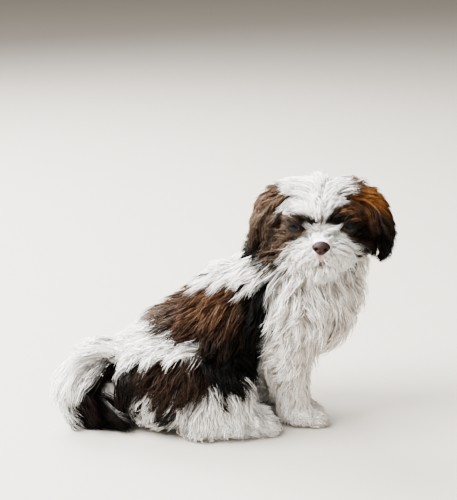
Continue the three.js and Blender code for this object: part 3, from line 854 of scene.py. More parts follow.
def tail_markings(p: Array) -> Array:
    """The tail's plume is white outside and above, and dark inside its curl but for one lock, and below:
    partly dark hair and partly painted shade of the curl's hollow.

    Args:
        p: Points of the coat.

    Returns:
        One linear colour for each point.
    """
    q = flank_place(p, mirrored=False)
    # Inside the curl the dark is part hair colour and part painted shade of the hollow, blackest low down.
    tone = mix(DARK, BLACK, ramp(-q[:, 1], -50, -20))
    colour = mix(np.tile(WHITE, (len(p), 1)), tone, inside(q, CURL, TAIL_EDGE))
    return mix(colour, WHITE, inside(q, CURL_LOCK, TAIL_EDGE * 0.75))


def head_markings(p: Array) -> Array:
    """The face: a white blaze and muzzle, dark masks round the eyes, and brown sides.

    Args:
        p: Points of the coat.

    Returns:
        One linear colour for each point.
    """
    ahead, left, up = head_local(p).T
    q = face_place(p)
    x, z = q[:, 0], q[:, 1]
    # The mask is greyer on the right, and golden above and dark at the edge on the left.
    colour = mix(mix(GREY_BROWN, BROWN, 0.25), BROWN, ramp(x, -8, 8))
    colour = mix(colour, GOLD, ramp(z, 5, 26) * ramp(x, 10, 26) * 0.85)
    colour = mix(colour, DARK, ramp(x, 38, 52) * ramp(-z, -22, 0) * 0.85)
    for patch in CHEEK_EDGES:
        colour = mix(colour, BLACK, inside(q, patch, BODY_EDGE) * 0.85)
    # Dark streaks run across it, painted shade where the shaded undersides of locks show.
    streaks = np.sin(z * 0.8 - np.abs(x) * 0.12) * np.sin(z * 0.31 + 1)
    colour = mix(colour, DARK, ramp(streaks, 0.1, 0.8) * 0.7)
    for patch in BROW_PATCHES:
        colour = mix(colour, BLACK, inside(q, patch, STREAK_EDGE) * 0.95)
    colour = mix(colour, WHITE, inside(q, BLAZE, FACE_EDGE))
    colour = mix(colour, WHITE, inside(q, MUZZLE, FACE_EDGE) * ramp(ahead, 6, 22))
    # Pink skin shows through the thin hair of the lips.
    mouth = np.hypot(x / 8, (z + 25) / 9)
    colour = mix(colour, PINK, (1 - ramp(mouth, 0.3, 1.3)) * 0.35 * ramp(ahead, 30, 40))
    # The rims of the eyes are black, further above than below.
    eye = np.hypot((np.abs(left) - EYE_AT[1]) / 12, (up - EYE_AT[2]) / np.where(up > EYE_AT[2], 8, 5.5))
    colour = mix(colour, BLACK, (1 - ramp(eye, 0.6, 1.3)) * 0.95)
    beside_ear = ramp(np.abs(left), 37, 44) * ramp(up, 14, 26)
    colour = mix(colour, mix(GREY_BROWN, ORANGE, ramp(left, -10, 10)), beside_ear * 0.9)
    back = mix(BROWN, WHITE, 1 - ramp(np.abs(left), 8, 22))
    return mix(colour, back, ramp(-ahead, 24, 40))


def neck_markings(p: Array) -> Array:
    """The neck is white and takes the head's colours where the head's coat covers it.

    Args:
        p: Points of the coat.

    Returns:
        One linear colour for each point.
    """
    ahead, left, _ = head_local(p).T
    q = face_place(p)
    on_head = np.maximum(*(inside(q, patch, 4) for patch in CHEEK_SIDES))
    # On the left, the head's colours reach 30 mm further back.
    on_head *= ramp(ahead + 30 * (left > 0), -34, -14)
    return mix(body_markings(p), head_markings(p), on_head)


def ear_markings(p: Array) -> Array:
    """The ears are golden above and black below, and the right one is greyer.

    Args:
        p: Points of the coat.

    Returns:
        One linear colour for each point.
    """
    _, left, up = head_local(p).T
    is_left = ramp(left, -10, 10)
    top = mix(mix(GOLD, GREY_BROWN, 0.6), ORANGE, is_left)
    middle = mix(GREY_BROWN * 0.8, BROWN, is_left)
    tip = mix(mix(BROWN, GREY_BROWN, 0.3), BLACK, is_left)
    colour = mix(mix(top, middle, ramp(-up, -28, -10)), tip, ramp(-up, -14, 8))
    return mix(colour, BLACK, ramp(-up, 12, 26))


MARKINGS: dict[str, Callable[[Array], Array]] = {
    **{name: body_markings for name in STYLES},
    **{name: head_markings for name in ("skull", "brow", "cheeks", "muzzle", "jaw")},
    "neck": neck_markings,
    "tail": tail_markings,
    "ear": ear_markings,
}


def markings(p: Array, region: Array) -> Array:
    """The coat's colour anywhere.

    Args:
        p: Points of the coat or skin.
        region: The index in REGIONS of each.

    Returns:
        One linear colour for each point.
    """
    colour = np.zeros((len(p), 3))
    for k, name in enumerate(REGIONS):
        found = region == k
        if found.any():
            colour[found] = MARKINGS[name](p[found])
    return colour


# Nodes and meshes.

def add_node(
    tree: bpy.types.NodeTree, kind: str, inputs: dict[Any, Any] | None = None, **settings: Any,
) -> Any:
    """Adds a node, sets it and links it.

    Args:
        tree: The node tree.
        kind: The node's type.
        inputs: For each input, by name or number, an output to link or a value to set.
        settings: The node's own properties.

    Returns:
        The node.
    """
    node = tree.nodes.new(kind)
    for key, value in settings.items():
        setattr(node, key, value)
    for key, value in (inputs or {}).items():
        if isinstance(value, bpy.types.NodeSocket):
            tree.links.new(value, node.inputs[key])
        else:
            node.inputs[key].default_value = value
    return node


def link_object(name: str, data: bpy.types.ID) -> bpy.types.Object:
    """Makes an object with the given data at the origin of the scene."""
    obj = bpy.data.objects.new(name, data)
    bpy.context.scene.collection.objects.link(obj)
    return obj


def make_object(name: str, surface: Surface, material: bpy.types.Material) -> bpy.types.Object:
    """Makes a mesh object at the origin from points in the body's frame.

    Args:
        name: The object's name.
        surface: The points in millimetres, and the faces as indices of points.
        material: Its material.

    Returns:
        The object, linked to the scene.
    """
    mesh = bpy.data.meshes.new(name)
    points, faces = surface
    mesh.from_pydata(to_scene(points).tolist(), [], faces)
    mesh.materials.append(material)
    return link_object(name, mesh)


def bake_modifiers(obj: bpy.types.Object) -> None:
    """Puts what an object's modifiers make into its mesh and removes them.

    Args:
        obj: The object.
    """
    graph = bpy.context.evaluated_depsgraph_get()
    solid = obj.evaluated_get(graph)
    made = bpy.data.meshes.new_from_object(solid, preserve_all_data_layers=True, depsgraph=graph)
    made.name = obj.name
    obj.modifiers.clear()
    obj.data = made


def read_array(rows: Any, name: str, width: int, kind: type = float) -> Array:
    """Reads one property of every row of a mesh.

    Args:
        rows: The mesh's vertices, loops or the like.
        name: The property.
        width: How many numbers it has.
        kind: The kind of number.

    Returns:
        One row of numbers for each of them.
    """
    values = np.zeros(len(rows) * width, kind)
    rows.foreach_get(name, values)
    return values.reshape(-1, width)


def add_numbers(mesh: bpy.types.Mesh, name: str, kind: str, values: Array) -> None:
    """Stores numbers on every vertex of a mesh.

    Args:
        mesh: The mesh.
        name: The name that they get.
        kind: FLOAT, FLOAT2 or FLOAT_COLOR.
        values: One number or one row for each vertex.
    """
    attribute = mesh.attributes.new(name, kind, "POINT")
    key = {"FLOAT": "value", "FLOAT2": "vector", "FLOAT_COLOR": "color"}[kind]
    attribute.data.foreach_set(key, np.ravel(values).astype(np.float32))


def add_colours(mesh: bpy.types.Mesh, colour: Array) -> None:
    """Stores the coat's colour on every vertex.

    Args:
        mesh: The mesh.
        colour: One linear colour for each vertex.
    """
    add_numbers(mesh, "coat_colour", "FLOAT_COLOR", np.column_stack([colour, np.ones(len(colour))]))


# Finishes.

@dataclass(frozen=True)
class Finish:
    """A real finish.

    Args:
        name: The material's name.
        roughness: How rough it is.
        specular: Its specular level.
        wet_film: The weight of a clear wet film.
        wet_roughness: How rough the film is.
    """

    name: str
    roughness: float
    specular: float = 0.5
    wet_film: float = 0.0
    wet_roughness: float = 0.08

    def start(self) -> tuple[bpy.types.Material, bpy.types.NodeTree, Any]:
        """Makes the material with its shader.

        Returns:
            The material, its node tree and its shader node.
        """
        material = bpy.data.materials.new(self.name)
        material.use_nodes = True
        tree = material.node_tree
        shader = tree.nodes["Principled BSDF"]
        shader.inputs["Roughness"].default_value = self.roughness
        shader.inputs["Specular IOR Level"].default_value = self.specular
        shader.inputs["Coat Weight"].default_value = self.wet_film
        shader.inputs["Coat Roughness"].default_value = self.wet_roughness
        return material, tree, shader

    @staticmethod
    def cloud_colour(
        tree: bpy.types.NodeTree, shader: Any, size: float, detail: float, ends: Sequence[Array],
    ) -> bpy.types.Node:
        """Lets the base colour drift softly between two colours.

        Args:
            tree: The material's node tree.
            shader: Its shader.
            size: The size of a cloud, in millimetres.
            detail: How many finer levels the clouds have.
            ends: The two colours.

        Returns:
            The node with the place on the piece.
        """
        place = add_node(tree, "ShaderNodeTexCoord")
        cloud = add_node(tree, "ShaderNodeTexNoise", {
            "Vector": place.outputs["Object"], "Scale": 1 / (size * METRE), "Detail": detail,
        })
        tint = add_node(tree, "ShaderNodeValToRGB", {"Fac": cloud.outputs["Fac"]})
        for stop, colour in zip(tint.color_ramp.elements, ends):
            stop.color = (*colour, 1)
        tree.links.new(tint.outputs["Color"], shader.inputs["Base Color"])
        return place


@dataclass(frozen=True)
class HairFinish(Finish):
    """Soft hair in the colours of the markings.

    Args:
        drift: Over what length its shade drifts, in millimetres, which keeps a lock from looking flat.
        shades: The darkest and the lightest shade of the drift.
        grain: The size of the grain of single hairs, in millimetres, coarser than a hair so that it shows.
        depth: The height of that grain's bump, in millimetres.
    """

    drift: float = 9.0
    shades: tuple[float, float] = (0.92, 1.06)
    grain: float = 0.35
    depth: float = 0.15

    def build(self) -> bpy.types.Material:
        """Makes the material.

        Returns:
            The material.
        """
        material, tree, shader = self.start()
        colour = add_node(tree, "ShaderNodeAttribute", attribute_name="coat_colour")
        place = add_node(tree, "ShaderNodeTexCoord")
        shade = add_node(tree, "ShaderNodeTexNoise", {
            "Vector": place.outputs["Object"], "Scale": 1 / (self.drift * METRE), "Detail": 3.0,
        })
        level = add_node(tree, "ShaderNodeMapRange", {
            "Value": shade.outputs["Fac"], "From Min": 0.3, "From Max": 0.7,
            "To Min": self.shades[0], "To Max": self.shades[1],
        })
        tinted = add_node(tree, "ShaderNodeVectorMath", {
            0: colour.outputs["Color"], "Scale": level.outputs["Result"],
        }, operation="SCALE")
        grain = add_node(tree, "ShaderNodeTexNoise", {
            "Vector": place.outputs["Object"], "Scale": 1 / (self.grain * METRE), "Detail": 2.0,
        })
        bump = add_node(tree, "ShaderNodeBump", {
            "Height": grain.outputs["Fac"], "Distance": self.depth * METRE, "Strength": 0.3,
        })
        tree.links.new(tinted.outputs["Vector"], shader.inputs["Base Color"])
        tree.links.new(bump.outputs["Normal"], shader.inputs["Normal"])
        return material


@dataclass(frozen=True)
class LeatherFinish(Finish):
    """Damp pebbled nose leather.

    Args:
        colour: Its colour.
        cloud: The size of its paler and darker clouds, in millimetres.
        pebble: The size of a pebble, in millimetres, fine enough to read as skin and not as scales.
        depth: The depth of the creases between pebbles, in millimetres.
    """

    colour: str = "200E0C"
    cloud: float = 5.0
    pebble: float = 0.7
    depth: float = 0.25

    def build(self) -> bpy.types.Material:
        """Makes the material.

        Returns:
            The material.
        """
        material, tree, shader = self.start()
        base = linear(self.colour)
        place = self.cloud_colour(tree, shader, self.cloud, 3.0, (base * 0.6, base * 1.5))
        cells = add_node(tree, "ShaderNodeTexVoronoi", {
            "Vector": place.outputs["Object"], "Scale": 1 / (self.pebble * METRE),
        }, feature="DISTANCE_TO_EDGE")
        bump = add_node(tree, "ShaderNodeBump", {
            "Height": cells.outputs["Distance"], "Distance": self.depth * METRE, "Strength": 0.7,
        })
        tree.links.new(bump.outputs["Normal"], shader.inputs["Normal"])
        return material


@dataclass(frozen=True)
class EyeFinish(Finish):
    """A wet dark eye, whose brown iris fades into a black pupil and a dark rim.

    Args:
        zones: Where each of its colours is, from the middle of the pupil at 0 to the white at 1.
    """

    zones: tuple[tuple[float, str], ...] = (
        (0.0, "050303"), (1.0, "2A1B16"), (0.34, "060404"),
        (0.42, "2A170E"), (0.62, "1E100A"), (0.7, "080504"),
    )

    def build(self) -> bpy.types.Material:
        """Makes the material.

        Returns:
            The material.
        """
        material, tree, shader = self.start()
        zone = add_node(tree, "ShaderNodeAttribute", attribute_name="eye_zone")
        colours = add_node(tree, "ShaderNodeValToRGB", {"Fac": zone.outputs["Fac"]})
        stops = colours.color_ramp.elements
        for k, (position, code) in enumerate(self.zones):
            stop = stops[k] if k < 2 else stops.new(position)
            stop.color = (*linear(code), 1)
        tree.links.new(colours.outputs["Color"], shader.inputs["Base Color"])
        return material


@dataclass(frozen=True)
class PlainFinish(Finish):
    """A finish with a soft drift of its shade.

    Args:
        colour: Its colour.
        drift: Over what length its shade drifts, in millimetres.
        change: How much its shade changes.
    """

    colour: str = "FFFFFF"
    drift: float = 6.0
    change: float = 0.12

    def build(self) -> bpy.types.Material:
        """Makes the material.

        Returns:
            The material.
        """
        material, tree, shader = self.start()
        base = linear(self.colour)
        ends = (base * (1 - self.change), np.minimum(base * (1 + self.change), 1))
        self.cloud_colour(tree, shader, self.drift, 4.0, ends)
        return material


# Short dull hair next to the skin, which shows only as a soft dark ground between the locks.
UNDERFUR = HairFinish("short_underfur", 0.8, specular=0.1, drift=6, grain=0.5, depth=0.3)
# Clean hair of a puppy, so fine that it scatters light and has hardly any shine.
PUPPY_COAT = HairFinish("soft_puppy_coat", 0.6, specular=0.06)
# The film of tears makes the eye the smoothest thing on the dog, with one small highlight.
WET_EYE = EyeFinish("wet_dark_eye", 0.15, specular=0.12)
# Liver leather, damp enough to glint a little on its pebbles.
NOSE_LEATHER = LeatherFinish("liver_nose_leather", 0.5, specular=0.14, wet_film=0.02)
# Horn of a light claw, polished by walking.
CLAW_HORN = PlainFinish("pale_horn_claw", 0.35, colour="A8907E")
# Matt paint, with a drift too wide to be seen as a pattern.
FLOOR_PAINT = PlainFinish("pale_floor", 0.8, colour="A9A399", drift=400, change=0.02)


# The skin.

# Pads of flesh that fill the muzzle out to the nose and lips, as centre and half sizes in the head's frame.
LIP_PADS = (((50, 0, -6), (10, 10, 9)), ((48, 6, -15), (9, 8, 8)), ((48, -6, -15), (9, 8, 8)))


@dataclass
class Skin:
    """One skin over all the flesh, with lids, lips and the line of the mouth.

    Args:
        finish: Its finish.
        voxel: The size of its mesh's faces, in millimetres.
        smoothing: How often its seams are smoothed.
        socket_depth: How far the skin lies under the eye's surface inside the lids.
        mouth_height: Where the line of the mouth is at its middle, as up of the head's frame.
        mouth_depth: How far it is drawn in.
        lip_groove: How deep the groove from the nose to the mouth is.
        shade: How bright the skin is beside the coat, dimmed as a painted shade for the skin that lies under
            the coat.
    """

    finish: HairFinish
    voxel: float = 1.9
    smoothing: int = 7
    socket_depth: float = 1.5
    mouth_height: float = -25.0
    mouth_depth: float = 3.5
    lip_groove: float = 2.0
    shade: float = 0.95
    obj: bpy.types.Object = field(init=False)
    points: Array = field(init=False)
    triangles: Array = field(init=False)
    corners: Array = field(init=False)
    normals: Array = field(init=False)
    uv: Array = field(init=False)
    region: Array = field(init=False)
    tree: BVHTree = field(init=False)

    def build(self) -> bpy.types.Object:
        """Makes the skin and the tables that the coat grows from.

        Returns:
            The skin.
        """
        self.obj = make_object("skin", self.flesh(), self.finish.build())
        remesh = self.obj.modifiers.new("remesh", "REMESH")
        remesh.mode = "VOXEL"
        remesh.voxel_size = self.voxel * METRE
        smooth = self.obj.modifiers.new("smooth", "SMOOTH")
        smooth.factor = 0.5
        smooth.iterations = self.smoothing
        bake_modifiers(self.obj)
        self.shape_face()
        self.unwrap()
        self.read()
        log.info("skin: %d vertices, %d triangles", len(self.points), len(self.triangles))
        return self.obj

    def flesh(self) -> Surface:
        """Every form of flesh, and the lids, as one set of closed surfaces.

        Returns:
            Their points and faces.
        """
        shapes = [form.shape for form in FORMS.values()]
        reach = EYE_RADIUS + LID_THICKNESS
        shapes += [Ellipsoid(EYE_AT * (1, side.value, 1), (reach, reach, reach)) for side in Side]
        shapes += [Ellipsoid(at, half) for at, half in LIP_PADS]
        return joined(shape.surface() for shape in shapes)

    def shape_face(self) -> None:
        """Opens the lids over the eyes and draws in the line of the mouth."""
        mesh = self.obj.data
        local = head_local(from_scene(read_array(mesh.vertices, "co", 3)))
        for side in Side:
            from_eye, across = eye_window(local, side)
            r = np.linalg.norm(from_eye, axis=1)
            near = (r < EYE_RADIUS + 6) & (from_eye[:, 0] > 0)
            open_share = (1 - ramp(across, 0.85, 1.2)) * near
            socket = np.full((len(r), 1), EYE_RADIUS - self.socket_depth)
            target = mix(r[:, None], socket, open_share)[:, 0]
            local += from_eye * (target / np.maximum(r, TINY) - 1)[:, None]
        below_nose = -local[:, 2]
        off_middle = np.abs(local[:, 1])
        # The line of the mouth turns up a little at its corners.
        from_line = local[:, 2] - self.mouth_height - 0.02 * local[:, 1] ** 2
        crease = np.exp(-(from_line / 2.2) ** 2) * ramp(local[:, 0], 30, 42) * (1 - ramp(off_middle, 12, 18))
        local[:, 0] -= crease * self.mouth_depth
        groove = np.exp(-(local[:, 1] / 1.8) ** 2) * ramp(local[:, 0], 40, 50)
        groove *= ramp(below_nose, 10, 13) * (1 - ramp(below_nose, 24, 27))
        local[:, 0] -= groove * self.lip_groove
        mesh.vertices.foreach_set("co", to_scene(head_point(local)).ravel())
        mesh.update()

    def unwrap(self) -> None:
        """Unwraps the skin by its own shape."""
        bpy.ops.object.select_all(action="DESELECT")
        self.obj.select_set(True)
        bpy.context.view_layer.objects.active = self.obj
        self.obj.data.uv_layers.new(name="OFBake")
        bpy.ops.object.mode_set(mode="EDIT")
        bpy.ops.mesh.select_all(action="SELECT")
        bpy.ops.uv.smart_project(angle_limit=math.radians(70), island_margin=0.002)
        bpy.ops.object.mode_set(mode="OBJECT")
        self.obj.data.shade_smooth()

    def read(self) -> None:
        """Reads the mesh back as arrays and colours it."""
        mesh = self.obj.data
        mesh.calc_loop_triangles()
        self.points = from_scene(read_array(mesh.vertices, "co", 3))
        self.normals = read_array(mesh.vertices, "normal", 3)
        self.triangles = read_array(mesh.loop_triangles, "vertices", 3, int)
        self.corners = read_array(mesh.loop_triangles, "loops", 3, int)
        self.uv = read_array(mesh.uv_layers["OFBake"].data, "uv", 2)
        distances = np.array([form.shape.distance(self.points) for form in FORMS.values()])
        of_form = np.array([REGIONS.index(form.region) for form in FORMS.values()])
        self.region = of_form[np.argmin(distances, axis=0)]
        self.tree = BVHTree.FromPolygons(self.points.tolist(), self.triangles.tolist(), all_triangles=True)
        ahead, left, up = head_local(self.points).T
        lips = ramp(ahead, 40, 47) * (1 - ramp(np.abs(left), 3, 8)) * ramp(-up, 8, 11)
        # The skin's colour is dimmed by its shade, a painted shade for the skin under the coat.
        add_colours(mesh, mix(markings(self.points, self.region) * self.shade, PINK, lips * 0.8))

    def nearest(self, p: Array) -> tuple[Array, Array]:
        """The nearest points of the skin and its normals there.

        Args:
            p: Points anywhere.

        Returns:
            The points of the skin and the normals.
        """
        found = [self.tree.find_nearest(Vector(point)) for point in p]
        return np.array([f[0] for f in found]), np.array([f[1] for f in found])


# The coat's tufts.

@dataclass
class Roots:
    """Places on the skin where hair is rooted.

    Args:
        at: The places.
        normal: The skin's normals there.
        region: The regions there, as indices.
        uv: The places on the skin's unwrap.
    """

    at: Array
    normal: Array
    region: Array
    uv: Array

    def pick(self, chosen: Array) -> "Roots":
        """The chosen ones of the roots."""
        return Roots(self.at[chosen], self.normal[chosen], self.region[chosen], self.uv[chosen])

    def in_regions(self, *names: str) -> Array:
        """Which roots are in some of the regions."""
        return np.isin(self.region, [REGIONS.index(name) for name in names])

    def style(self, name: str) -> Array:
        """One value of the coat's style for each root."""
        return np.array([getattr(STYLES[region], name) for region in REGIONS])[self.region]

    def measures(self) -> dict[str, Array]:
        """What the zones of the coat go by.

        Returns:
            Each measure by its name, with one number for each root.
        """
        _, left, up = head_local(self.at).T
        to_curl = unit(TAIL_LOOP_CENTRE - self.at)
        return {
            "x": self.at[:, 0],
            "z": self.at[:, 2],
            "left": left,
            "off_middle": np.abs(left),
            "up": up,
            "faces_ahead": self.normal[:, 0],
            "faces_up": self.normal[:, 2],
            "faces_curl": np.sum(to_curl * self.normal, axis=1),
        }

    def grow_by_zone(self, depth: Array, length: Array) -> None:
        """Changes the coat's depth and length at the roots as the zones say.

        Args:
            depth: The depth at each root.
            length: The length at each root.
        """
        measures = self.measures()
        for zones in ZONES.values():
            deeper, longer = np.ones(len(depth)), np.ones(len(length))
            for zone in zones:
                share = self.in_regions(*zone.regions) * 1.0
                for name, start, full in zone.bounds:
                    share *= ramp(measures[name], start, full)
                deeper += zone.depth * share
                longer += zone.length * share
            depth *= deeper
            length *= longer


def is_bare(p: Array, n: Array) -> Array:
    """Where no hair grows: the eyes, the nose, the lips, the soles and where flesh is pressed to the floor.

    Args:
        p: Places on the skin.
        n: The normals there.

    Returns:
        One truth for each place.
    """
    local = head_local(p)
    bare = (p[:, 2] < 5) & (n[:, 2] < -0.4)
    for side in Side:
        from_eye, across = eye_window(local, side)
        near = np.linalg.norm(from_eye, axis=1) < EYE_RADIUS + 5
        bare |= near & (across < 1.15) & (from_eye[:, 0] > 0)
    nose = np.linalg.norm((local - NOSE_AT) / (NOSE_HALF + 1.2), axis=1)
    lips = (np.abs(local[:, 1]) < 1.2) & (local[:, 2] < -10) & (local[:, 2] > -24) & (local[:, 0] > 44)
    return bare | (nose < 1) | lips


def scatter(skin: Skin, count: int, density: Callable[[CoatStyle], float], rng: np.random.Generator) -> Roots:
    """Scatters roots over the skin.

    Args:
        skin: The skin.
        count: How many.
        density: The weight of a region by its style.
        rng: The random numbers.

    Returns:
        The roots.
    """
    a, b, c = (skin.points[skin.triangles[:, k]] for k in range(3))
    area = np.linalg.norm(np.cross(b - a, c - a), axis=1) / 2
    region = skin.region[skin.triangles[:, 0]]
    weight = area * np.array([density(STYLES[name]) for name in REGIONS])[region]
    weight[is_bare((a + b + c) / 3, skin.normals[skin.triangles[:, 0]])] = 0
    chosen = rng.choice(len(area), count, p=weight / weight.sum())
    r = np.sqrt(rng.random(count))
    s = rng.random(count)
    shares = np.column_stack([1 - r, r * (1 - s), r * s])
    at = np.einsum("nk,nkd->nd", shares, skin.points[skin.triangles[chosen]])
    normal = unit(np.einsum("nk,nkd->nd", shares, skin.normals[skin.triangles[chosen]]))
    uv = np.einsum("nk,nkd->nd", shares, skin.uv[skin.corners[chosen]])
    return Roots(at, normal, region[chosen], uv)


def thin_out(roots: Roots) -> Array:
    """Keeps roots that are each clear of the others in their region by its spacing.

    Args:
        roots: More roots than needed.

    Returns:
        The indices of those kept.
    """
    kept: list[int] = []
    for k, name in enumerate(REGIONS):
        spacing = STYLES[name].spacing
        cells: dict[tuple[int, ...], list[int]] = {}
        for i in np.nonzero(roots.region == k)[0]:
            key = tuple((roots.at[i] // spacing).astype(int))
            around = [
                j
                for x in (-1, 0, 1) for y in (-1, 0, 1) for z in (-1, 0, 1)
                for j in cells.get((key[0] + x, key[1] + y, key[2] + z), ())
            ]
            if all(np.linalg.norm(roots.at[i] - roots.at[j]) >= spacing for j in around):
                cells.setdefault(key, []).append(i)
                kept.append(i)
    return np.array(kept)


@dataclass
class Locks:
    """The locks that tufts gather into.

    Args:
        roots: Where they are rooted.
        path: Their courses, one row of points each.
        up: The skin's normals along them.
        height: How far they are above the skin along them.
        tone: A shade of its own for each.
        jitter: How far each reads its markings from elsewhere, for ragged edges.
    """

    roots: Roots
    path: Array
    up: Array
    height: Array
    tone: Array
    jitter: Array


def gather(roots: Roots, locks: Locks) -> Array:
    """Finds the lock that each tuft gathers into, on its own side of the skin.

    Args:
        roots: The tufts' roots.
        locks: The locks.

    Returns:
        The lock of each tuft.
    """
    tree = KDTree(len(locks.roots.at))
    for i, at in enumerate(locks.roots.at):
        tree.insert(at, i)
    tree.balance()
    lock = np.zeros(len(roots.at), int)
    for i, (at, normal) in enumerate(zip(roots.at, roots.normal)):
        near = [j for _, j, _ in tree.find_n(at, 5)]
        facing = [j for j in near if locks.roots.normal[j] @ normal > 0.3]
        lock[i] = (facing or near)[0]
    return lock


@dataclass
class Tufts:
    """The tufts of the coat, as courses with a thickness and a colour at each point.

    Args:
        roots: Where they are rooted.
        path: Their courses.
        thickness: Half their width at each point.
        colour: Their colour at each point.
    """

    roots: Roots
    path: Array
    thickness: Array
    colour: Array


def covers_eye(courses: Array) -> Array:
    """Which tufts pass in front of an eye.

    Args:
        courses: The tufts' courses.

    Returns:
        One truth for each tuft.
    """
    between = [mix(courses[:, 1:], courses[:, :-1], share) for share in (0.25, 0.5, 0.75)]
    courses = np.concatenate([courses, *between], 1)
    local = head_local(courses.reshape(-1, 3)).reshape(courses.shape)
    found = np.zeros(len(courses), bool)
    for side in Side:
        from_eye, across = eye_window(local, side, wider=0.8, higher=1.2)
        found |= ((across < 1) & (from_eye[:, :, 0] > 0)).any(axis=1)
    return found


GROUPS = {
    "trunk": ("trunk",),
    "neck": ("neck",),
    "crown": ("skull",),
    "face": ("brow", "cheeks"),
    "muzzle": ("muzzle", "jaw"),
    "ear": ("ear",),
    "foreleg": ("foreleg", "forepaw"),
    "hindleg": ("thigh", "shank", "hindfoot"),
    "tail": ("tail",),
}
HEAD_GROUPS = ("crown", "face", "muzzle", "ear")


@dataclass
class Coat:
    """The whole coat.

    Args:
        skin: The skin it grows from.
        finish: Its finish.
        sides: How many sides a tuft has.
        patch: The size of a tuft's place on the skin's unwrap.
        length_spread: The shortest and the longest lock beside its style.
        depth_spread: The lowest and the highest lock beside its style.
        bend: How much a lock bends to one side by its tip, in radians.
        tone: How much locks differ in brightness.
        ragged: How far a lock on the body reads its markings from elsewhere, for ragged edges.
        ragged_head: How far a lock on the head or a leg does.
        tip_fall: How far a lock's tip falls back to the skin, as a share of its height.
        crown_tip_fall: How much further it does on the crown.
        clearance: How far locks stay above the floor.
        tuft_clearance: How far tufts do.
        rooting: How far a tuft's root is sunk into the skin.
        reach: The shortest and the longest tuft beside its lock.
        layers: The lowest and the highest layer of the coat's depth.
        fullness: How much wider tufts are than their style says, so that they cover the skin.
        width_spread: The thinnest and the thickest tuft beside its width.
        cream: The most cream that a pale tuft takes on.
        brightest: The most light that a tuft returns, as of clean hair.
    """

    skin: Skin
    finish: HairFinish
    sides: int = 3
    patch: float = 0.003
    length_spread: tuple[float, float] = (0.8, 1.2)
    depth_spread: tuple[float, float] = (0.85, 1.12)
    bend: float = 0.26
    tone: float = 0.1
    ragged: float = 4.0
    ragged_head: float = 1.5
    tip_fall: float = 0.15
    crown_tip_fall: float = 0.25
    clearance: float = 1.2
    tuft_clearance: float = 0.8
    rooting: float = 0.6
    reach: tuple[float, float] = (0.66, 1.0)
    layers: tuple[float, float] = (0.25, 1.0)
    fullness: float = 1.15
    width_spread: tuple[float, float] = (0.75, 1.25)
    cream: float = 0.22
    brightest: float = 0.93

    def build(self) -> list[bpy.types.Object]:
        """Grows the coat, in one piece for each group of regions and side.

        Returns:
            The pieces.
        """
        rng = np.random.default_rng(SEED)
        tufts = self.grow_tufts(self.grow_locks(rng), rng)
        roots = tufts.roots
        material = self.finish.build()
        tree = self.tuft_nodes()
        on_head = roots.in_regions(*(region for group in HEAD_GROUPS for region in GROUPS[group]))
        across = np.where(on_head, head_local(roots.at)[:, 1], roots.at[:, 1])
        pieces = []
        for group, regions in GROUPS.items():
            in_group = roots.in_regions(*regions)
            for side in Side:
                chosen = np.nonzero(in_group & ((across > 0) == (side is Side.LEFT)))[0]
                pieces.append(self.piece(f"coat_{group}_{side.label}", tufts, chosen, tree, material))
        return pieces

    def grow_locks(self, rng: np.random.Generator) -> Locks:
        """Runs every lock along the lie of the coat.

        Args:
            rng: The random numbers.

        Returns:
            The locks.
        """
        candidates = scatter(self.skin, LOCK_CANDIDATES, lambda style: 1 / style.spacing ** 2, rng)
        roots = candidates.pick(thin_out(candidates))
        count = len(roots.at)
        length = roots.style("length") * rng.uniform(*self.length_spread, count)
        # The face's hair is short about the nose and grows longer away from it.
        from_nose = np.linalg.norm(head_local(roots.at) - NOSE_AT, axis=1)
        growth = np.where(roots.in_regions("muzzle", "jaw", "brow"), 0.4 + 0.6 * ramp(from_nose, 8, 30), 1)
        length *= growth
        depth = roots.style("depth") * rng.uniform(*self.depth_spread, count) * growth
        roots.grow_by_zone(depth, length)
        bend = rng.normal(0, self.bend, count)
        path, up, height = self.run_locks(roots, depth, length, bend)
        tone = rng.normal(0, self.tone, count)
        on_body = roots.in_regions("trunk", "neck", "tail", "thigh")
        ragged = np.where(on_body, self.ragged, self.ragged_head)
        jitter = rng.normal(0, 1, (count, 3)) * ragged[:, None]
        log.info("locks: %d", count)
        return Locks(roots, path, up, height, tone, jitter)

    def run_locks(self, roots: Roots, depth: Array, length: Array, bend: Array) -> tuple[Array, Array, Array]:
        """Runs locks over the skin in short steps, and lets them rise to the coat's depth.

        Args:
            roots: Their roots.
            depth: The coat's depth at each.
            length: How long each is.
            bend: How much each bends to one side by its tip.

        Returns:
            Their courses, the skin's normals along them and their height above the skin.
        """
        tip_fall = self.tip_fall + self.crown_tip_fall * roots.in_regions("skull")
        settle = roots.style("settle")
        at, up = roots.at.copy(), roots.normal.copy()
        path, ups, heights = [at.copy()], [up.copy()], [np.zeros(len(at))]
        for step in range(1, LOCK_STEPS + 1):
            s = step / LOCK_STEPS
            lie = np.zeros_like(at)
            for k, name in enumerate(REGIONS):
                found = roots.region == k
                if found.any():
                    lie[found] = LIES[name](at[found], up[found])
            flat = unit(lie - up * np.sum(lie * up, axis=1, keepdims=True))
            turn = bend * s
            flat = flat * np.cos(turn)[:, None] + np.cross(up, flat) * np.sin(turn)[:, None]
            at = at + flat * (length / LOCK_STEPS)[:, None]
            ground, normal = self.skin.nearest(at)
            above = np.sum((at - ground) * normal, axis=1)
            wanted = depth * (1 - (1 - s) ** 1.5) * (1 - tip_fall * ramp(s, 0.55, 1))
            lift = wanted - above
            at = at + normal * np.where(lift > 0, lift, lift * settle)[:, None]
            at[:, 2] = np.maximum(at[:, 2], self.clearance)
            up = unit(up * 0.45 + normal * 0.55)
            path.append(at.copy())
            ups.append(up.copy())
            heights.append(np.maximum(np.sum((at - ground) * normal, axis=1), 0))
        return np.stack(path, 1), np.stack(ups, 1), np.stack(heights, 1)

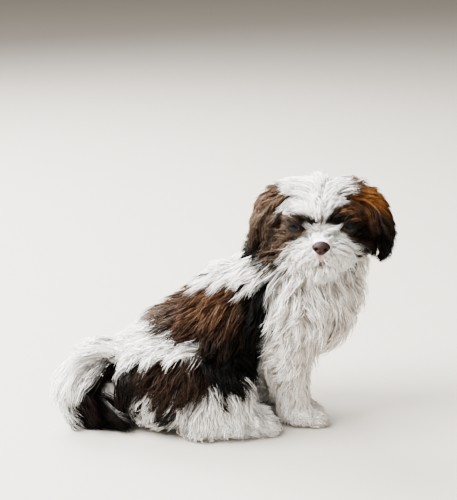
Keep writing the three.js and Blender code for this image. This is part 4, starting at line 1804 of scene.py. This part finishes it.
    def grow_tufts(self, locks: Locks, rng: np.random.Generator) -> Tufts:
        """Grows the tufts round the locks.

        Args:
            locks: The locks.
            rng: The random numbers.

        Returns:
            The tufts.
        """
        roots = scatter(self.skin, TUFT_BUDGET, lambda style: style.density, rng)
        count = len(roots.at)
        lock = gather(roots, locks)
        reach = rng.uniform(*self.reach, count)
        layer = rng.uniform(*self.layers, count) ** 0.7
        offset = roots.at - locks.roots.at[lock]
        stray = rng.normal(0, 1, (count, 3)) * roots.style("stray")[:, None]
        phase = rng.uniform(0, 2 * math.pi, len(locks.roots.at))[lock] + rng.normal(0, 0.5, count)
        path, thickness = [], []
        for s, wide, _ in TUFT_SHAPE:
            place = reach * s * LOCK_STEPS
            i = np.minimum(place.astype(int), LOCK_STEPS - 1)
            share = place - i
            along = mix(locks.path[lock, i], locks.path[lock, i + 1], share)
            up = mix(locks.up[lock, i], locks.up[lock, i + 1], share)
            height = mix(locks.height[lock, i][:, None], locks.height[lock, i + 1][:, None], share)[:, 0]
            spread = 1 - roots.style("gather") * s ** 1.2
            side = unit(np.cross(up, along - locks.roots.at[lock]))
            wave = np.sin(phase + reach * s * 6) * roots.style("wave") * min(s * 2, 1)
            at = along + offset * spread[:, None] - up * (height * (1 - layer))[:, None]
            at += stray * s ** 2 * 0.6 + side * wave[:, None]
            at[:, 2] = np.maximum(at[:, 2], self.tuft_clearance)
            if s == 0:
                at = at - roots.normal * self.rooting
            path.append(at)
            half = roots.style("width") / 2 * self.fullness * wide
            thickness.append(half * rng.uniform(*self.width_spread, count))
        # A tuft has the colour of one place, so that markings end in whole locks.
        tone = markings((path[1] + path[2]) / 2 + locks.jitter[lock], locks.roots.region[lock])
        pale = ramp(tone.mean(axis=1), 0.2, 0.6)
        tone = mix(tone, CREAM, pale * rng.uniform(0, self.cream, count))
        # Dark hair differs more from tuft to tuft and from lock to lock than white hair.
        of_tuft = rng.normal(0, 1, count) * (0.16 - 0.125 * pale)
        brightness = np.exp(of_tuft + locks.tone[lock] * (1.6 - 1.3 * pale))
        # Each tuft takes the painted shade of TUFT_SHAPE: darker at its root, deep in the coat, and lighter
        # at its tip.
        shades = [tone * (brightness * shade)[:, None] for _, _, shade in TUFT_SHAPE]
        courses = np.stack(path, 1)
        clear = ~covers_eye(courses)
        colour = np.clip(np.stack(shades, 1), 0, self.brightest)
        return Tufts(roots.pick(clear), courses[clear], np.stack(thickness, 1)[clear], colour[clear])

    def piece(self, name: str, tufts: Tufts, chosen: Array, tree: Any, material: Any) -> bpy.types.Object:
        """Makes one piece of the coat.

        Args:
            name: The piece's name.
            tufts: All the tufts.
            chosen: Which of them it has.
            tree: The nodes that give a course its solid form.
            material: The coat's material.

        Returns:
            The piece.
        """
        if len(chosen) > MOST_TUFTS_IN_A_PIECE:
            raise ValueError(f"{name} has {len(chosen)} tufts, more than a piece may have")
        count = len(chosen)
        mesh = bpy.data.meshes.new(name)
        mesh.vertices.add(count * TUFT_POINTS)
        mesh.vertices.foreach_set("co", to_scene(tufts.path[chosen].reshape(-1, 3)).ravel())
        first = np.arange(count)[:, None] * TUFT_POINTS + np.arange(TUFT_POINTS - 1)[None]
        mesh.edges.add(count * (TUFT_POINTS - 1))
        mesh.edges.foreach_set("vertices", np.stack([first, first + 1], 2).ravel())
        add_numbers(mesh, "half_width", "FLOAT", tufts.thickness[chosen] * METRE)
        add_colours(mesh, tufts.colour[chosen].reshape(-1, 3))
        add_numbers(mesh, "root_place", "FLOAT2", np.repeat(tufts.roots.uv[chosen], TUFT_POINTS, axis=0))
        add_numbers(mesh, "along", "FLOAT", np.tile([share for share, _, _ in TUFT_SHAPE], count))
        mesh.update()
        obj = link_object(name, mesh)
        modifier = obj.modifiers.new("tufts", "NODES")
        modifier.node_group = tree
        settings = {"Sides": self.sides, "Patch": self.patch, "Seed": SEED, "Material": material}
        for item in tree.interface.items_tree:
            if item.name in settings:
                modifier[item.identifier] = settings[item.name]
        bake_modifiers(obj)
        triangles = sum(len(face.vertices) - 2 for face in obj.data.polygons)
        log.info("%s: %d tufts, %d triangles", name, count, triangles)
        return obj

    def tuft_nodes(self) -> bpy.types.NodeTree:
        """The nodes that turn courses into closed tapered tufts with a place on the skin's unwrap.

        Returns:
            The node tree.
        """
        tree = bpy.data.node_groups.new("tufts", "GeometryNodeTree")
        face = tree.interface
        face.new_socket("Courses", in_out="INPUT", socket_type="NodeSocketGeometry")
        for name, kind in (("Sides", "Int"), ("Patch", "Float"), ("Seed", "Int"), ("Material", "Material")):
            face.new_socket(name, in_out="INPUT", socket_type=f"NodeSocket{kind}")
        face.new_socket("Tufts", in_out="OUTPUT", socket_type="NodeSocketGeometry")
        start = add_node(tree, "NodeGroupInput")
        curves = add_node(tree, "GeometryNodeMeshToCurve", {"Mesh": start.outputs["Courses"]})
        half = add_node(tree, "GeometryNodeInputNamedAttribute", {"Name": "half_width"}, data_type="FLOAT")
        turn = add_node(tree, "FunctionNodeRandomValue", {
            "Min": 0.0, "Max": 2 * math.pi, "Seed": start.outputs["Seed"],
        }, data_type="FLOAT")
        tilted = add_node(tree, "GeometryNodeSetCurveTilt", {
            "Curve": curves.outputs["Curve"], "Tilt": turn.outputs["Value"],
        })
        ring = add_node(tree, "GeometryNodeCurvePrimitiveCircle", {
            "Resolution": start.outputs["Sides"], "Radius": 1.0,
        })
        round_it = add_node(tree, "GeometryNodeSplineParameter")
        marked = add_node(tree, "GeometryNodeStoreNamedAttribute", {
            "Geometry": ring.outputs["Curve"], "Name": "around", "Value": round_it.outputs["Factor"],
        }, data_type="FLOAT", domain="POINT")
        solid = add_node(tree, "GeometryNodeCurveToMesh", {
            "Curve": tilted.outputs["Curve"], "Profile Curve": marked.outputs["Geometry"],
            "Scale": half.outputs["Attribute"], "Fill Caps": True,
        })
        smooth = add_node(tree, "GeometryNodeSetShadeSmooth", {"Geometry": solid.outputs["Mesh"]})
        root = add_node(
            tree, "GeometryNodeInputNamedAttribute", {"Name": "root_place"}, data_type="FLOAT_VECTOR",
        )
        along = add_node(tree, "GeometryNodeInputNamedAttribute", {"Name": "along"}, data_type="FLOAT")
        around = add_node(tree, "GeometryNodeInputNamedAttribute", {"Name": "around"}, data_type="FLOAT")
        local = add_node(tree, "ShaderNodeCombineXYZ", {
            "X": along.outputs["Attribute"], "Y": around.outputs["Attribute"],
        })
        scaled = add_node(tree, "ShaderNodeVectorMath", {
            0: local.outputs["Vector"], "Scale": start.outputs["Patch"],
        }, operation="SCALE")
        place = add_node(tree, "ShaderNodeVectorMath", {
            0: root.outputs["Attribute"], 1: scaled.outputs["Vector"],
        }, operation="ADD")
        mapped = add_node(tree, "GeometryNodeStoreNamedAttribute", {
            "Geometry": smooth.outputs["Geometry"], "Name": "OFBake", "Value": place.outputs["Vector"],
        }, data_type="FLOAT2", domain="CORNER")
        last = mapped
        for name in ("half_width", "root_place", "along", "around"):
            last = add_node(tree, "GeometryNodeRemoveAttribute", {
                "Geometry": last.outputs["Geometry"], "Name": name,
            })
        real = add_node(tree, "GeometryNodeRealizeInstances", {"Geometry": last.outputs["Geometry"]})
        painted = add_node(tree, "GeometryNodeSetMaterial", {
            "Geometry": real.outputs["Geometry"], "Material": start.outputs["Material"],
        })
        add_node(tree, "NodeGroupOutput", {"Tufts": painted.outputs["Geometry"]})
        return tree


# Eyes, nose and claws.

@dataclass
class Eye:
    """An eyeball.

    Args:
        side: Which eye.
        material: Its material.
        bulge: How much the cornea stands out, as a share of the radius.
        cornea: Where the bulge starts to fall and where it ends, in degrees from its middle.
        zone_end: At how many degrees from its middle the last of its colours is reached.
    """

    side: Side
    material: bpy.types.Material
    bulge: float = 0.05
    cornea: tuple[float, float] = (10, 42)
    zone_end: float = 75.0

    def build(self) -> bpy.types.Object:
        """Makes the eye.

        Returns:
            The eye.
        """
        centre = EYE_AT * (1, self.side.value, 1)
        points, faces = Ellipsoid(centre, (EYE_RADIUS,) * 3).surface(40)
        ahead = unit(np.array([1.0, 0.18 * self.side.value, -0.02]))
        local = (head_local(points) - centre) / EYE_RADIUS
        angle = np.degrees(np.arccos(np.clip(local @ ahead, -1, 1)))
        reach = 1 + self.bulge * (1 - ramp(angle, *self.cornea))
        placed = head_point(centre + local * EYE_RADIUS * reach[:, None])
        obj = make_object(f"eye_{self.side.label}_ball", (placed, faces), self.material)
        add_numbers(obj.data, "eye_zone", "FLOAT", np.clip(angle / self.zone_end, 0, 1))
        obj.data.shade_smooth()
        log.info("%s: radius %.1f mm", obj.name, EYE_RADIUS)
        return obj


@dataclass
class Nose:
    """The nose leather with its nostrils. Its sizes are shares of its half sizes.

    Args:
        finish: Its finish.
        narrowing: How much narrower it is below than in the middle.
        heights: How high its upper and its lower half are.
        nostril: Where the right or left nostril is from the middle, its half width and its depth.
        slit: The same for the slit that runs outward from it.
        groove: The half width and depth of the groove below the middle.
    """

    finish: LeatherFinish
    narrowing: float = 0.42
    heights: tuple[float, float] = (0.86, 1.05)
    nostril: tuple[float, float, float] = (0.46, 0.2, 0.6)
    slit: tuple[float, float, float] = (0.68, 0.2, 0.3)
    groove: tuple[float, float] = (0.07, 0.25)

    def build(self) -> bpy.types.Object:
        """Makes the nose.

        Returns:
            The nose.
        """
        points, faces = Ellipsoid(NOSE_AT, NOSE_HALF).surface(72)
        q = (head_local(points) - NOSE_AT) / NOSE_HALF
        q[:, 1] *= 1 - self.narrowing * ramp(-q[:, 2], -0.1, 1.0)
        q[:, 2] *= np.where(q[:, 2] > 0, *self.heights)
        front = ramp(q[:, 0], -0.2, 0.5)
        for s in (-1, 1):
            out, half, deep = self.nostril
            across, up = q[:, 1] - s * out, q[:, 2] + 0.02 - 0.25 * (np.abs(q[:, 1]) - out)
            q[:, 0] -= (1 - ramp(np.hypot(across / half, up / half), 0.35, 1.25)) * deep * front
            out, half, deep = self.slit
            across, up = q[:, 1] - s * out, q[:, 2] + 0.2
            q[:, 0] -= (1 - ramp(np.hypot(across / half, up / (half * 0.4)), 0.4, 1.3)) * deep * front
        half, deep = self.groove
        q[:, 0] -= np.exp(-(q[:, 1] / half) ** 2) * ramp(-q[:, 2], -0.15, 0.3) * deep * front
        obj = make_object("nose_leather", (head_point(q * NOSE_HALF + NOSE_AT), faces), self.finish.build())
        obj.data.shade_smooth()
        log.info("nose: %.0f mm wide", NOSE_HALF[1] * 2)
        return obj


@dataclass
class Claws:
    """The claws of all four feet.

    Args:
        finish: Their finish.
        length: How long they are, in millimetres.
    """

    finish: PlainFinish
    length: float = 5.5

    def build(self) -> bpy.types.Object:
        """Makes the claws.

        Returns:
            One piece with all the claws.
        """
        feet = [tip(side) for side in Side for tip in (forepaw_tip, hindfoot_tip)]
        claws = [self.claw(toe) for tip in feet for toe in toe_places(tip)]
        obj = make_object("claws", joined(claws), self.finish.build())
        obj.data.shade_smooth()
        log.info("claws: %d", len(claws))
        return obj

    def claw(self, toe: Point) -> Surface:
        """One claw, which bends down to its point.

        Args:
            toe: The toe's centre.

        Returns:
            Its points and faces.
        """
        root = np.array(toe) + (TOE_RADIUS - 1.5, 0, 0.5)
        stations = (
            (root, (1.7, 1.7)),
            (root + (self.length * 0.55, 0, -0.8), (1.2, 1.3)),
            (root + (self.length, 0, -3.4), (0.35, 0.4)),
        )
        return Limb(stations, cap=0.9, steps=6).surface(12)


# The set.

@dataclass(frozen=True)
class Lamp:
    """A soft light that faces the dog.

    Args:
        at: Where it is, in the body's frame.
        size: Its width, in metres.
        power: Its power, in watts.
    """

    at: Point
    size: float
    power: float


LAMPS = {
    "key_light": Lamp((-1400, -300, 1700), 1.5, 460),
    "fill_light": Lamp((900, -1700, 1300), 2.2, 30),
    "back_light": Lamp((-700, 1300, 1700), 1.5, 280),
}


@dataclass
class Studio:
    """A pale floor, soft light and the camera.

    Args:
        pitch: How far the camera looks down, in degrees.
        heading: The way it looks, in degrees from +Y towards -X.
        lens: Its focal length for a 36 mm sensor on the longer side.
        floor_half: Half the width of the floor.
        aim: The height that the lamps are aimed at, in metres.
        haze: The colour of the light that comes from all round.
        haze_strength: How strong it is.
    """

    pitch: float = 16.3
    heading: float = -5.0
    lens: float = 88.56
    floor_half: float = 9000.0
    aim: float = 0.12
    haze: str = "E6DDD2"
    haze_strength: float = 0.55

    def build(self) -> None:
        """Makes the floor, the lights and the camera."""
        corners = np.array([(-1, -1, 0), (1, -1, 0), (1, 1, 0), (-1, 1, 0)]) * self.floor_half
        make_object("floor", (corners, [[0, 1, 2, 3]]), FLOOR_PAINT.build())
        for name, lamp in LAMPS.items():
            self.light(name, lamp)
        world = bpy.data.worlds.new("studio")
        world.use_nodes = True
        background = world.node_tree.nodes["Background"]
        background.inputs["Color"].default_value = (*linear(self.haze), 1)
        background.inputs["Strength"].default_value = self.haze_strength
        bpy.context.scene.world = world
        camera = link_object("camera", bpy.data.cameras.new("camera"))
        camera.data.lens = self.lens
        camera.data.sensor_width = 36
        camera.data.sensor_fit = "AUTO"
        camera.data.clip_start = 0.05
        camera.location = to_scene(VIEWED_FROM)
        camera.rotation_euler = (math.radians(90 - self.pitch), 0, math.radians(self.heading))
        bpy.context.scene.camera = camera

    def light(self, name: str, lamp: Lamp) -> None:
        """Adds a lamp.

        Args:
            name: Its name.
            lamp: Its place, size and power.
        """
        data = bpy.data.lights.new(name, "AREA")
        data.size = lamp.size
        data.energy = lamp.power
        obj = link_object(name, data)
        obj.location = to_scene(np.array(lamp.at))
        away = obj.location - Vector((0.0, 0.0, self.aim))
        obj.rotation_euler = away.to_track_quat("Z", "Y").to_euler()


FLESH_NODES = (
    "torso", "rump", "neck", "head", "lower_jaw", "ear_right", "ear_left", "foreleg_right", "foreleg_left",
    "thigh_right", "thigh_left", "forepaw_right", "forepaw_left", "hindfoot_right", "hindfoot_left",
    "tail_base", "tail_tip",
)


def place(obj: bpy.types.Object, slot: str, nodes: Sequence[str] = ()) -> None:
    """Makes a piece ride on the dog and hides the CAD parts that it stands for.

    Args:
        obj: The piece.
        slot: The record's material slot. It is not used.
        nodes: The CAD nodes that it stands for.
    """
    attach(obj, "root")
    if nodes:
        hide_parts(*nodes)


def main() -> None:
    """Builds the puppy and its set."""
    logging.basicConfig(level=logging.INFO, format="%(message)s")
    skin = Skin(UNDERFUR)
    place(skin.build(), "coat", FLESH_NODES)
    for piece in Coat(skin, PUPPY_COAT).build():
        place(piece, "dark_coat" if "_ear_" in piece.name else "coat")
    eye_material = WET_EYE.build()
    for side in Side:
        place(Eye(side, eye_material).build(), "eye", [f"eye_{side.label}"])
    place(Nose(NOSE_LEATHER).build(), "nose_leather", ["nose"])
    place(Claws(CLAW_HORN).build(), "claw")
    Studio().build()


if __name__ == "__main__":
    main()
